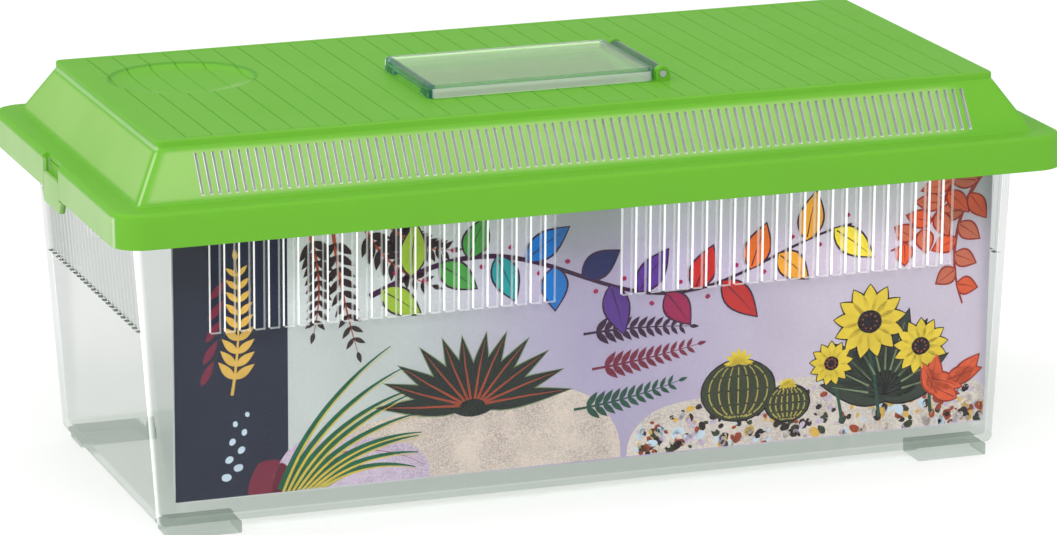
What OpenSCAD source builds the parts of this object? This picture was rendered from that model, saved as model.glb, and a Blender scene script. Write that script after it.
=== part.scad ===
// Small ventilated keeper for reptiles and insects: a clear drafted tub on four
// feet, a green lid with sloping slotted sides, a clear hinged feeding hatch,
// two flexing end latches and a printed card inside the front wall.
// Millimetres. X runs along the keeper, Y away from the viewer, Z up.
// The origin is on the table, under the middle of the tub.

/* [Tub] */
// Length of the tub at its base
tub_length = 283; // [240:1:340]
// Width of the tub at its base
tub_width = 129.3; // [110:0.1:170]
// Height of the tub from its base to the top of its rim
tub_height = 104.3; // [90:0.1:140]
// Outward slope of the walls, in millimetres for each 100 of height
tub_draft = 6.1; // [4:0.1:8]
// Radius of the upright corners at the base
tub_corner_r = 4; // [3.5:0.1:7]
// Thickness of the walls and the floor
tub_wall = 2.2; // [1.6:0.1:3]

/* [Feet] */
// Height of the feet
foot_height = 4.2; // [3:0.1:8]
// Length of each foot, along the tub
foot_length = 24; // [16:1:40]
// Width of each foot, across the tub
foot_width = 14; // [10:1:24]
// Distance of the feet from the ends of the base
foot_end_inset = 3; // [2:0.5:10]
// Distance of the feet from the long sides of the base
foot_side_inset = 0.5; // [0.5:0.1:4]

/* [Rim] */
// How far the rim stands out beyond the end walls
rim_end = 6.1; // [5:0.1:10]
// How far the rim stands out beyond the long walls
rim_side = 11.5; // [6:0.1:16]
// Thickness of the rim's lip and of its turned-down edge
rim_wall = 1.8; // [1.4:0.1:2.4]
// Height of the turned-down edge
rim_turn = 7.8; // [6:0.1:9]
// Plan radius of the rim's corners
rim_corner_r = 6.5; // [5:0.5:12]

/* [Tub vents] */
// Width of one slot
vent_slot = 3.1; // [2:0.1:3.8]
// Width of the bar between two slots
vent_bar = 1.67; // [1.2:0.01:3]
// Depth of the slots' lower ends below the rim's top
vent_depth = 41.9; // [25:0.1:55]
// Wall left between the rim's top and the slots
vent_top = 6; // [4:0.1:10]
// Solid wall between the two groups of slots on a long side
vent_middle = 22.4; // [15:0.1:40]
// Solid wall between the slots and the corners of a long side
vent_side_margin = 13.3; // [6:0.1:30]
// Solid wall between the slots and the corners of an end
vent_end_margin = 1.6; // [1.2:0.1:20]

/* [Card] */
// Distance of the printed card's left end from where the tub's corner begins
card_end_gap = 1.5; // [0.5:0.1:20]
// How far the card's right end reaches past where the tub's corner begins
card_right_reach = 0.5; // [0:0.1:0.5]
// How much further it reaches at its top, following the tub's outward slope
card_right_flare = 0.6; // [0:0.1:0.6]
// Height of the card, along the wall
card_height = 86; // [40:1:86]
// Thickness of the card
card_thickness = 0.5; // [0.3:0.1:1]
// Height of the card's lower edge above the tub's floor
card_lift = 4.9; // [1:0.1:9]

/* [Lid] */
// Thickness of the lid
lid_wall = 2; // [1.6:0.1:2.6]
// Height of the skirt, from its lower edge to the flange's top
skirt_height = 11.2; // [10:0.1:14]
// Width of the flat flange at the ends
flange_end = 8.4; // [6:0.1:12]
// Width of the flat flange along the long sides
flange_side = 8.8; // [6:0.1:14]
// Height of the sloping sides
slope_height = 15.8; // [12:0.1:30]
// Horizontal run of the end slopes
slope_run_end = 9.7; // [4:0.1:20]
// Horizontal run of the long slopes
slope_run_side = 11.4; // [4:0.1:20]
// Height of the upright step between the slopes and the top
step_height = 2.2; // [1:0.1:4]

/* [Lid slots] */
// Width of one slot in the long slopes
slope_slot = 1.15; // [0.8:0.01:1.6]
// Width of the bar between two of them
slope_bar = 1.62; // [1.2:0.01:3]
// Height left below and above the slots on a slope
slope_slot_margin = 2.1; // [1.6:0.1:4]
// Distance of the slots from the ends of the lid's top
slope_slot_inset = 10.2; // [6:0.1:30]

/* [Lid top] */
// Distance between the fine grooves across the top
groove_pitch = 8.6; // [6:0.1:20]
// Width of a groove
groove_width = 0.7; // [0.4:0.1:1]
// Depth of a groove
groove_depth = 0.4; // [0.2:0.1:0.8]
// Distance of the grooves from the ends of the top
groove_end_inset = 7; // [4:0.5:20]
// Distance of the grooves from the long edges of the top
groove_side_inset = 2.7; // [2:0.1:10]
// Radius of the round dish in the top
dish_r = 24.5; // [15:0.5:30]
// Depth of the dish at its middle
dish_depth = 1.8; // [1:0.1:3]
// Place of the dish's middle along the lid
dish_x = -107; // [-110:1:-100]
// Place of the dish's middle across the lid
dish_y = 24; // [0:1:30]

/* [Hatch] */
// Length of the hatch, without its hinge
hatch_length = 76; // [60:1:90]
// Width of the hatch
hatch_width = 50; // [40:1:60]
// Height of the hatch
hatch_height = 4.4; // [4:0.1:7]
// Thickness of the hatch's walls and top
hatch_wall = 2; // [1.4:0.1:2.4]
// Place of the hatch's middle along the lid
hatch_x = -5; // [-20:1:40]
// Place of the hatch's middle across the lid
hatch_y = -14.5; // [-20:0.5:10]
// How far the hatch overlaps the edge of the opening under it
hatch_overlap = 4; // [3:0.1:8]
// Length of the finger notch in the hatch's free end
finger_length = 30; // [16:1:36]
// Height of the finger notch
finger_height = 1.6; // [1:0.1:1.8]

/* [Hinge] */
// Radius of the bar along the hatch's hinged end
knuckle_r = 2.1; // [1.8:0.1:2.4]
// Radius of the hinge pins
hinge_pin_r = 1.2; // [0.9:0.1:1.3]
// Width of each hinge ear
ear_width = 3.2; // [2.5:0.1:5]
// Radius of the ears' round tops
ear_r = 2.4; // [2.3:0.1:3]

/* [Latches] */
// Width of the latches
latch_width = 20; // [12:0.5:30]
// Height of the open window above a latch's plate
latch_window = 6; // [4.5:0.1:6.5]
// How far a latch hangs below the skirt
latch_drop = 4.7; // [3:0.1:8]
// How far the finger tab is wider than the latch, on each side
latch_wing = 3; // [1:0.5:6]
// Height of the hook on a latch's inner face
hook_height = 3.4; // [2:0.1:4]

/* [Clearances] */
// Gap between the rim's top and the lid that sits on it
seat_gap = 0.2; // [0.1:0.05:0.5]
// Gap all round between the rim and the inside of the skirt
rim_gap = 1.5; // [1:0.1:2.5]
// Gap round the latches, and between their hooks and the rim
latch_gap = 0.3; // [0.2:0.05:0.5]
// Gap between the finger tab and the skirt's lower edge
tab_gap = 0.6; // [0.5:0.1:1]
// Gap between the hatch and the lid's top
hatch_gap = 0.2; // [0.1:0.05:0.5]
// Gap round the hinge ears
ear_gap = 0.4; // [0.3:0.1:0.8]
// Radial gap of the pins in the ears
pin_gap = 0.08; // [0.04:0.01:0.1]
// Gap between the card and the wall that it stands against
card_gap = 0.2; // [0.1:0.05:0.5]

/* [Hidden] */
$fn = 64;
past = 1;                       // how far a cut runs past the faces it opens
clear_plastic = [0.86, 0.89, 0.87, 0.35];
hatch_plastic = [0.55, 0.72, 0.66, 0.6];
lid_green = [0.44, 0.78, 0.25];
slope_green = [0.6, 0.82, 0.42];
card_colour = [0.78, 0.77, 0.84];

// Levels, from the table up
base_z = foot_height;
floor_z = base_z + tub_wall;
rim_z = base_z + tub_height;
rim_low_z = rim_z - rim_turn;
flange_under_z = rim_z + seat_gap;
flange_z = flange_under_z + lid_wall;
skirt_z = flange_z - skirt_height;
slope_top_z = flange_z + slope_height;
top_z = slope_top_z + step_height;
top_under_z = top_z - lid_wall;

// Tub walls: distance from the middle plane at a height
draft = tub_draft / 100;
tub_core_x = tub_length / 2 - tub_corner_r;
tub_core_y = tub_width / 2 - tub_corner_r;
function wall_r(z) = tub_corner_r + draft * (z - base_z);
function wall_x(z) = tub_core_x + wall_r(z);
function wall_y(z) = tub_core_y + wall_r(z);

// Rim and lid, half sizes
rim_x = wall_x(rim_z) + rim_end;
rim_y = wall_y(rim_z) + rim_side;
lid_x = rim_x + rim_gap + lid_wall;
lid_y = rim_y + rim_gap + lid_wall;
lid_corner_r = rim_corner_r + rim_gap + lid_wall;
lean_end = slope_run_end / slope_height;
lean_side = slope_run_side / slope_height;
function slope_x(z) = lid_x - flange_end - lean_end * (z - flange_z);
function slope_y(z) = lid_y - flange_side - lean_side * (z - flange_z);
slope_wall_end = lid_wall * sqrt(1 + pow(lean_end, 2));
slope_wall_side = lid_wall * sqrt(1 + pow(lean_side, 2));
lid_top_x = slope_x(slope_top_z);
lid_top_y = slope_y(slope_top_z);

// Tub vents
vent_pitch = vent_slot + vent_bar;
vent_low_z = rim_z - vent_depth;
vent_high_z = rim_z - vent_top;
vent_frame = 1.2;               // plain border of a vent round its slots
front_vent_from = vent_middle / 2;
front_vent_to = tub_core_x - vent_side_margin;
end_vent_to = tub_core_y - vent_end_margin;

// Lid slots
slope_pitch = slope_slot + slope_bar;
slope_slot_low_z = flange_z + slope_slot_margin;
slope_slot_high_z = slope_top_z - slope_slot_margin;
slope_slot_to = lid_top_x - slope_slot_inset;
grille_frame = 0.8;             // plain border of a grille round its slots

// Hatch and hinge
hatch_low_x = hatch_x - hatch_length / 2;
hatch_high_x = hatch_x + hatch_length / 2;
hatch_z = top_z + hatch_gap;
hinge_x = hatch_high_x + ear_r + ear_gap;
hinge_z = hatch_z + knuckle_r;
ear_inner_y = hatch_width / 2 - ear_width;
web_height = 2.2;               // height of the web from the hatch to its bar
ear_root = 0.5;                 // how deep the ears' feet reach into the top

// Latches
plate_top_z = flange_z - latch_window;
tab_low_z = skirt_z - latch_drop;
strap_in = rim_gap - latch_gap; // thickness of the strap behind the window
knee_height = 1.5;              // height of the step from the strap to the plate
hook_top_z = rim_low_z - latch_gap;
hook_lead = 0.5;                // share of the hook that its lead-in takes

// How many strips of a width, with bars between them, fit in a length
function strip_count(length, strip, bar) = floor((length + bar) / (strip + bar));
function strip_start(length, strip, bar, count) =
    (length - count * (strip + bar) + bar) / 2;

// Box with drafted walls and upright corners that widen with height
module drafted_box(inset, low, high) {
    r_low = wall_r(low) - inset;
    r_high = wall_r(high) - inset;
    rotate([90, 0, 0])
        linear_extrude(2 * tub_core_y, center = true)
            polygon([
                [-tub_core_x - r_low, low], [tub_core_x + r_low, low],
                [tub_core_x + r_high, high], [-tub_core_x - r_high, high]
            ]);
    rotate([90, 0, 90])
        linear_extrude(2 * tub_core_x, center = true)
            polygon([
                [-tub_core_y - r_low, low], [tub_core_y + r_low, low],
                [tub_core_y + r_high, high], [-tub_core_y - r_high, high]
            ]);
    for (side_x = [-1, 1], side_y = [-1, 1])
        translate([side_x * tub_core_x, side_y * tub_core_y, low])
            cylinder(r1 = r_low, r2 = r_high, h = high - low);
}

// Flat plate with round corners, given by its half sizes
module rounded_plate(half_x, half_y, corner_r, low, high) {
    translate([0, 0, low])
        linear_extrude(high - low) {
            square([2 * half_x, 2 * (half_y - corner_r)], center = true);
            square([2 * (half_x - corner_r), 2 * half_y], center = true);
            for (side_x = [-1, 1], side_y = [-1, 1])
                translate([side_x * (half_x - corner_r), side_y * (half_y - corner_r)])
                    circle(corner_r);
        }
}

// Slab of the front wall between two heights, with extra depth on each face
module front_wall_slab(from_x, to_x, low, high, extra) {
    translate([from_x, 0, 0])
        rotate([90, 0, 90])
            linear_extrude(to_x - from_x)
                polygon([
                    [-wall_y(low) - extra, low], [-wall_y(high) - extra, high],
                    [-wall_y(high) + tub_wall + extra, high],
                    [-wall_y(low) + tub_wall + extra, low]
                ]);
}

// The same for the left end wall
module left_wall_slab(from_y, to_y, low, high, extra) {
    translate([0, to_y, 0])
        rotate([90, 0, 0])
            linear_extrude(to_y - from_y)
                polygon([
                    [-wall_x(low) - extra, low], [-wall_x(high) - extra, high],
                    [-wall_x(high) + tub_wall + extra, high],
                    [-wall_x(low) + tub_wall + extra, low]
                ]);
}

// Slotted panel that fills the window on the right of the front wall
module front_vent() {
    length = front_vent_to - front_vent_from;
    count = strip_count(length, vent_slot, vent_bar);
    start = front_vent_from + strip_start(length, vent_slot, vent_bar, count);
    difference() {
        front_vent_window(0);
        for (i = [0 : count - 1])
            front_wall_slab(start + i * vent_pitch, start + i * vent_pitch + vent_slot,
                            vent_low_z, vent_high_z, past);
    }
}

module front_vent_window(extra) {
    front_wall_slab(front_vent_from - vent_frame, front_vent_to + vent_frame,
                    vent_low_z - vent_frame, vent_high_z + vent_frame, extra);
}

// Slotted panel that fills the window in the left end wall
module left_vent() {
    length = 2 * end_vent_to;
    count = strip_count(length, vent_slot, vent_bar);
    start = strip_start(length, vent_slot, vent_bar, count) - end_vent_to;
    difference() {
        left_vent_window(0);
        for (i = [0 : count - 1])
            left_wall_slab(start + i * vent_pitch, start + i * vent_pitch + vent_slot,
                           vent_low_z, vent_high_z, past);
    }
}

module left_vent_window(extra) {
    left_wall_slab(-end_vent_to - vent_frame, end_vent_to + vent_frame,
                   vent_low_z - vent_frame, vent_high_z + vent_frame, extra);
}

// Lip round the tub's top, with its edge turned down
module rim() {
    difference() {
        rounded_plate(rim_x, rim_y, rim_corner_r, rim_low_z, rim_z);
        rounded_plate(rim_x - rim_wall, rim_y - rim_wall, rim_corner_r - rim_wall,
                      rim_low_z - past, rim_z - rim_wall);
    }
}

module tub() {
    color(clear_plastic)
        difference() {
            union() {
                drafted_box(0, base_z, rim_z);
                rim();
            }
            drafted_box(tub_wall, floor_z, rim_z + past);
            for (turn = [0, 1], flip = [0, 1])
                rotate([0, 0, 180 * turn])
                    mirror([flip, 0, 0])
                        front_vent_window(past);
            for (turn = [0, 1])
                rotate([0, 0, 180 * turn])
                    left_vent_window(past);
        }
}

module feet() {
    foot_x = tub_length / 2 - foot_end_inset - foot_length;
    foot_y = tub_width / 2 - foot_side_inset - foot_width;
    color(clear_plastic)
        for (flip_x = [0, 1], flip_y = [0, 1])
            mirror([flip_x, 0, 0])
                mirror([0, flip_y, 0])
                    translate([foot_x, foot_y, 0])
                        cube([foot_length, foot_width, foot_height]);
}

module front_vent_right() { color(clear_plastic) front_vent(); }
module front_vent_left() { color(clear_plastic) mirror([1, 0, 0]) front_vent(); }
module back_vent_right() { color(clear_plastic) mirror([0, 1, 0]) front_vent(); }
module back_vent_left() { color(clear_plastic) rotate([0, 0, 180]) front_vent(); }
module left_end_vent() { color(clear_plastic) left_vent(); }
module right_end_vent() { color(clear_plastic) mirror([1, 0, 0]) left_vent(); }

// Printed card that stands against the inside of the front wall
module label_card() {
    low = floor_z + card_lift;
    high = low + card_height;
    front = tub_wall + card_gap;
    back = front + card_thickness;
    left = tub_core_x - card_end_gap;
    right = tub_core_x + card_right_reach;
    lean = card_right_flare / card_height;
    color(card_colour)
        intersection() {
            rotate([90, 0, 90])
                linear_extrude(2 * (right + 5), center = true)
                    polygon([
                        [-wall_y(low) + front, low], [-wall_y(high) + front, high],
                        [-wall_y(high) + back, high], [-wall_y(low) + back, low]
                    ]);
            rotate([90, 0, 0])
                linear_extrude(2 * tub_width, center = true)
                    polygon([
                        [-left, low - 1], [right - lean, low - 1],
                        [right + card_right_flare + lean, high + 1], [-left, high + 1]
                    ]);
        }
}

// Block with four sloping sides, from one height to another
module sloped_block(inset_x, inset_y, low, high) {
    intersection() {
        rotate([90, 0, 0])
            linear_extrude(2 * lid_y, center = true)
                polygon([
                    [-slope_x(low) + inset_x, low], [slope_x(low) - inset_x, low],
                    [slope_x(high) - inset_x, high], [-slope_x(high) + inset_x, high]
                ]);
        rotate([90, 0, 90])
            linear_extrude(2 * lid_x, center = true)
                polygon([
                    [-slope_y(low) + inset_y, low], [slope_y(low) - inset_y, low],
                    [slope_y(high) - inset_y, high], [-slope_y(high) + inset_y, high]
                ]);
    }
}

// Slab of the front slope between two heights, with extra depth on each face
module front_slope_slab(from_x, to_x, low, high, extra) {
    translate([from_x, 0, 0])
        rotate([90, 0, 90])
            linear_extrude(to_x - from_x)
                polygon([
                    [-slope_y(low) - extra, low], [-slope_y(high) - extra, high],
                    [-slope_y(high) + slope_wall_side + extra, high],
                    [-slope_y(low) + slope_wall_side + extra, low]
                ]);
}

module slope_window(extra) {
    front_slope_slab(-slope_slot_to - grille_frame, slope_slot_to + grille_frame,
                     slope_slot_low_z - grille_frame, slope_slot_high_z + grille_frame,
                     extra);
}

// Slotted panel that fills the window in the front slope
module slope_grille() {
    length = 2 * slope_slot_to;
    count = strip_count(length, slope_slot, slope_bar);
    start = strip_start(length, slope_slot, slope_bar, count) - slope_slot_to;
    difference() {
        slope_window(0);
        for (i = [0 : count - 1])
            front_slope_slab(start + i * slope_pitch, start + i * slope_pitch + slope_slot,
                             slope_slot_low_z, slope_slot_high_z, past);
    }
}

// Fine grooves across the lid's top, inside a border groove
module top_grooves() {
    groove_x = lid_top_x - groove_end_inset;
    groove_y = lid_top_y - groove_side_inset;
    count = floor(2 * groove_x / groove_pitch);
    first = -count * groove_pitch / 2;
    translate([0, 0, top_z - groove_depth])
        linear_extrude(groove_depth + past) {
            for (i = [0 : count])
                translate([first + i * groove_pitch, 0])
                    square([groove_width, 2 * groove_y], center = true);
            for (side = [-1, 1])
                translate([0, side * groove_y])
                    square([count * groove_pitch + groove_width, groove_width],
                           center = true);
        }
}

// Part of a ball: the dish's hollow, or with a wall the shell under it
module dish_ball(wall) {
    ball_r = (pow(dish_r, 2) + pow(dish_depth, 2)) / (2 * dish_depth);
    translate([dish_x, dish_y, top_z + ball_r - dish_depth])
        sphere(ball_r + wall, $fn = 128);
}

// Cut-out through the skirt and the flange's edge for one end latch
module latch_cut() {
    half = latch_width / 2 + latch_gap;
    translate([lid_x - lid_wall, -half, skirt_z - past])
        cube([lid_wall + past, 2 * half, skirt_height + 2 * past]);
}

module lid_shell() {
    dish_rim_r = dish_r + lid_wall;
    color(lid_green) {
        difference() {
            union() {
                rounded_plate(lid_x, lid_y, lid_corner_r, skirt_z, flange_z);
                sloped_block(0, 0, flange_under_z, slope_top_z);
                translate([-lid_top_x, -lid_top_y, slope_top_z])
                    cube([2 * lid_top_x, 2 * lid_top_y, step_height]);
            }
            rounded_plate(lid_x - lid_wall, lid_y - lid_wall, lid_corner_r - lid_wall,
                          skirt_z - past, flange_under_z);
            difference() {
                sloped_block(slope_wall_end, slope_wall_side,
                             flange_under_z - past, top_under_z);
                intersection() {
                    dish_ball(lid_wall);
                    translate([dish_x, dish_y, top_under_z - dish_depth - past])
                        cylinder(r = dish_rim_r, h = dish_depth + 2 * past);
                }
            }
            for (turn = [0, 1])
                rotate([0, 0, 180 * turn]) {
                    slope_window(past);
                    latch_cut();
                }
            translate([hatch_low_x + hatch_overlap, hatch_y - hatch_width / 2 + hatch_overlap,
                       top_under_z - past])
                cube([hatch_length - 2 * hatch_overlap, hatch_width - 2 * hatch_overlap,
                      lid_wall + 2 * past]);
            top_grooves();
            dish_ball(0);
            hinge_feet(0);
        }
    }
}

module lid_front_grille() { color(slope_green) slope_grille(); }
module lid_back_grille() { color(slope_green) mirror([0, 1, 0]) slope_grille(); }

// Feet of the two ears, let into the lid's top
module hinge_feet(extra) {
    for (side = [-1, 1])
        translate([hinge_x - ear_r, hatch_y + side * (ear_inner_y + ear_width / 2) - ear_width / 2,
                   top_z - ear_root])
            cube([2 * ear_r, ear_width, hinge_z - top_z + ear_root + extra]);
}

module hinge_ears() {
    color(lid_green)
        difference() {
            union() {
                hinge_feet(0);
                for (side = [-1, 1])
                    translate([hinge_x, hatch_y + side * (ear_inner_y + ear_width / 2), hinge_z])
                        rotate([90, 0, 0])
                            cylinder(r = ear_r, h = ear_width, center = true);
            }
            translate([hinge_x, hatch_y, hinge_z])
                rotate([90, 0, 0])
                    cylinder(r = hinge_pin_r + pin_gap, h = hatch_width + 2 * past,
                             center = true);
        }
}

// Clear hatch: a shallow tray upside down, with a bar along its hinged end
module hatch_door() {
    bar_length = 2 * (ear_inner_y - ear_gap);
    color(hatch_plastic) {
        difference() {
            translate([hatch_low_x, hatch_y - hatch_width / 2, hatch_z])
                cube([hatch_length, hatch_width, hatch_height]);
            translate([hatch_low_x + hatch_wall, hatch_y - hatch_width / 2 + hatch_wall,
                       hatch_z - past])
                cube([hatch_length - 2 * hatch_wall, hatch_width - 2 * hatch_wall,
                      hatch_height - hatch_wall + past]);
            translate([hatch_low_x - past, hatch_y - finger_length / 2, hatch_z - past])
                cube([hatch_wall + 2 * past, finger_length, finger_height + past]);
        }
        translate([hinge_x, hatch_y, hinge_z])
            rotate([90, 0, 0])
                cylinder(r = knuckle_r, h = bar_length, center = true);
        translate([hatch_high_x - hatch_wall / 2, hatch_y - bar_length / 2,
                   hinge_z - web_height / 2])
            cube([hinge_x - hatch_high_x + hatch_wall / 2, bar_length, web_height]);
    }
}

// Two stub pins on the ends of the hatch's bar
module hatch_hinge_pins() {
    pin_from = ear_inner_y - ear_gap;
    color(hatch_plastic)
        for (side = [-1, 1])
            translate([hinge_x, hatch_y + side * (pin_from + ear_gap / 2 + ear_width / 2), hinge_z])
                rotate([90, 0, 0])
                    cylinder(r = hinge_pin_r, h = ear_width + ear_gap, center = true);
}

// Latch at the right end: strap behind the window, plate, finger tab and hook
module latch() {
    inner_x = lid_x - lid_wall;
    strap_x = inner_x - strap_in;
    half = latch_width / 2;
    tab_top_z = skirt_z - tab_gap;
    hook_low_z = hook_top_z - hook_height;
    translate([strap_x, -half, plate_top_z - knee_height])
        cube([strap_in, latch_width, flange_under_z - latch_gap - plate_top_z + knee_height]);
    translate([strap_x, -half, plate_top_z - knee_height])
        cube([strap_in + lid_wall, latch_width, knee_height]);
    translate([inner_x, -half, tab_low_z])
        cube([lid_wall, latch_width, plate_top_z - tab_low_z]);
    translate([inner_x, 0, 0])
        rotate([90, 0, 90])
            linear_extrude(lid_wall)
                polygon([
                    [-half - latch_wing, tab_top_z], [half + latch_wing, tab_top_z],
                    [half, tab_low_z], [-half, tab_low_z]
                ]);
    translate([0, half, 0])
        rotate([90, 0, 0])
            linear_extrude(latch_width)
                polygon([
                    [inner_x + lid_wall / 2, hook_low_z], [inner_x + lid_wall / 2, hook_top_z],
                    [strap_x, hook_top_z], [strap_x, hook_top_z - hook_lead * hook_height],
                    [inner_x, hook_low_z]
                ]);
}

module latch_right() { color(lid_green) latch(); }
module latch_left() { color(lid_green) mirror([1, 0, 0]) latch(); }

tub();
feet();
front_vent_left();
front_vent_right();
back_vent_left();
back_vent_right();
left_end_vent();
right_end_vent();
label_card();
lid_shell();
lid_front_grille();
lid_back_grille();
hinge_ears();
hatch_door();
hatch_hinge_pins();
latch_left();
latch_right();
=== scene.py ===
import math
import random

import bmesh
import bpy
from mathutils import Euler, Matrix, Vector


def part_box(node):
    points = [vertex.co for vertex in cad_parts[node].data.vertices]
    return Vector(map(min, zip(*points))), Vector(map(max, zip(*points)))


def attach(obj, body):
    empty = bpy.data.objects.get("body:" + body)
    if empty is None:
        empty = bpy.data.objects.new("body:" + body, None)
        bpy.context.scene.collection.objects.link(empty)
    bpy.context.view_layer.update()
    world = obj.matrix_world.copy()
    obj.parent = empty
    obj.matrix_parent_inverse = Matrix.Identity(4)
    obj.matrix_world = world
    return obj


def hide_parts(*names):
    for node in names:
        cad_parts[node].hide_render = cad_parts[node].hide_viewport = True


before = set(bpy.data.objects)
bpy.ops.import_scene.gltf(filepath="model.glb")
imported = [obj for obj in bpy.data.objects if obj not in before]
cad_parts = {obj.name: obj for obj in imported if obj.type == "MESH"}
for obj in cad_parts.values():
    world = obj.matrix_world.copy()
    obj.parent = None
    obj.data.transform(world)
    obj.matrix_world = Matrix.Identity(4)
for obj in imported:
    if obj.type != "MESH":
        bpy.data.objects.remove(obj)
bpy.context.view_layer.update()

MM = 0.001
HAIR = 0.02 * MM  # keeps rings of one wall apart
dice = random.Random(7)

# ---------------------------------------------------------------- sizes
# Most sizes are read from the frame. The rest are the mould's own, in metres.
tub_low, tub_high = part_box("tub")
lid_low, lid_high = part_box("lid_shell")
hatch_low, hatch_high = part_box("hatch_door")
card_low, card_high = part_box("label_card")
long_vent_low, long_vent_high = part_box("front_vent_right")
end_vent_low, end_vent_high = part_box("right_end_vent")
grille_low, grille_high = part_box("lid_front_grille")

CORNER_STEPS = 8

# Tub
BASE_X, BASE_Y = 141.5 * MM, 64.65 * MM  # half the length and the width at the base
BASE_CORNER = 4 * MM
DRAFT = 0.061  # how far the walls lean out as they rise
TUB_WALL = 2.2 * MM
BASE_ROUND = 1.8 * MM
FLOOR_ROUND = 1.0 * MM
RIM_CORNER = 6.5 * MM
RIM_WALL = 1.8 * MM
RIM_TURN = 7.8 * MM  # how far the rim turns down
VENT_FRAME = 1.2 * MM  # plain border of the slotted panels in the frame
VENT_SLOT, VENT_BAR = 3.1 * MM, 1.67 * MM
TUB_EASE = 0.3 * MM
FOOT_GAP = 0.02 * MM  # two clear faces that coincide render black
base_z = tub_low.z + FOOT_GAP
rim_z = tub_high.z
floor_z = base_z + TUB_WALL
vent_low_z = long_vent_low.z + VENT_FRAME
vent_high_z = long_vent_high.z - VENT_FRAME

# Lid
LID_WALL = 2 * MM
LID_CORNER = 10 * MM
SKIRT = 11.2 * MM
SKIRT_ROUND = 1.7 * MM
FLANGE_END, FLANGE_SIDE = 8.4 * MM, 8.8 * MM
SLOPE_HEIGHT = 15.8 * MM
SLOPE_RUN_END, SLOPE_RUN_SIDE = 9.7 * MM, 11.4 * MM
HIP_ROUND = 2.2 * MM
STEP_ROUND = 0.5 * MM
GRILLE_FRAME = 0.8 * MM
SLOPE_SLOT, SLOPE_BAR = 0.95 * MM, 1.82 * MM
GRILLE_DEPTH = 2.9 * MM  # wall round the slots
INNER_CORNER = 0.8 * MM
UNDER_STEP = 0.6 * MM  # inner face, below the outer step
UNDER_TOP_END, UNDER_TOP_SIDE = 3 * MM, 3.4 * MM  # inner face, in from the top's edge
LID_EASE = 0.2 * MM
NOTCH_HALF = 10.3 * MM  # half the gap in the skirt for a latch
lid_x, lid_y = lid_high.x, lid_high.y
top_z = lid_high.z
skirt_z = lid_low.z
flange_z = skirt_z + SKIRT
flange_under_z = flange_z - LID_WALL
slope_top_z = flange_z + SLOPE_HEIGHT
top_under_z = top_z - LID_WALL
lean_end = SLOPE_RUN_END / SLOPE_HEIGHT
lean_side = SLOPE_RUN_SIDE / SLOPE_HEIGHT
top_x = lid_x - FLANGE_END - SLOPE_RUN_END
top_y = lid_y - FLANGE_SIDE - SLOPE_RUN_SIDE

# Lid top
GROOVE_PITCH, GROOVE_WIDTH, GROOVE_DEPTH = 8.6 * MM, 0.7 * MM, 0.4 * MM
GROOVE_END_INSET, GROOVE_SIDE_INSET = 7 * MM, 2.7 * MM
DISH_X, DISH_Y, DISH_R = -107 * MM, 24 * MM, 24.5 * MM
# The dish and the pan under it, as radius and depth in millimetres
DISH_PROFILE = [(0, 1.8), (12, 1.75), (19, 1.55), (21.6, 1.2), (23.4, 0.45), (24.5, 0)]
DISH_PAN = [(14, 3.5), (22, 3.3), (25, 2.2), (26, 1)]
DISH_MOUTH = 25.6 * MM  # radius of the hollow just above the top
DISH_STEPS = 96

# Hatch
HATCH_SIZE_X, HATCH_SIZE_Y = 76 * MM, 50 * MM
HATCH_WALL = 2 * MM
HATCH_CORNER = 2.4 * MM
HATCH_ROUND, HATCH_INNER_ROUND = 1.3 * MM, 0.6 * MM
HATCH_EASE = 0.25 * MM
HATCH_OVERLAP = 4 * MM
OPENING_CORNER = 2 * MM
FINGER_HALF, FINGER_HEIGHT = 15 * MM, 1.6 * MM
BAR_R, BAR_END_R = 2.1 * MM, 1.7 * MM
BAR_EASE = 0.4 * MM
WEB_HEIGHT = 2.2 * MM
hatch_mid_x = hatch_low.x + HATCH_SIZE_X / 2
hatch_mid_y = (hatch_low.y + hatch_high.y) / 2
hinge_x = hatch_high.x - BAR_R
hinge_z = hatch_low.z + BAR_R
ear_low, ear_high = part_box("hinge_ears")
EAR_WIDTH, EAR_GAP = 3.2 * MM, 0.4 * MM
bar_half = (ear_high.y - ear_low.y) / 2 - EAR_WIDTH - EAR_GAP


# ---------------------------------------------------------------- mesh making
def new_piece(name, verts, faces):
    """A mesh object in the scene, made from points and faces."""
    mesh = bpy.data.meshes.new(name)
    mesh.from_pydata([tuple(v) for v in verts], [], faces)
    mesh.validate()
    piece = bpy.data.objects.new(name, mesh)
    bpy.context.scene.collection.objects.link(piece)
    return piece


def wall_ring(half_x, half_y, corner_r, z, long_stops=(), end_stops=()):
    """Points round a box with round corners, anticlockwise from the front's left."""
    core_x, core_y = half_x - corner_r, half_y - corner_r
    xs = [-core_x, *long_stops, core_x]
    ys = [-core_y, *end_stops, core_y]
    sides = [
        [(x, -half_y) for x in xs],
        [(half_x, y) for y in ys],
        [(-x, half_y) for x in xs],
        [(-half_x, -y) for y in ys],
    ]
    centres = [(core_x, -core_y), (core_x, core_y), (-core_x, core_y), (-core_x, -core_y)]
    points = []
    for side in range(4):
        points += sides[side]
        for step in range(1, CORNER_STEPS):
            turn = math.pi / 2 * (side - 1 + step / CORNER_STEPS)
            points.append((centres[side][0] + corner_r * math.cos(turn),
                           centres[side][1] + corner_r * math.sin(turn)))
    return [Vector((x, y, z)) for x, y in points]


def ring_columns(long_stops, end_stops):
    """For each column of a ring, its side and its place along that side, or -1 in a corner."""
    columns = []
    for side in range(4):
        stops = long_stops if side % 2 == 0 else end_stops
        columns += [(side, k) for k in range(len(stops) + 1)]
        columns += [(side, -1)] * CORNER_STEPS
    return columns


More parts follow.
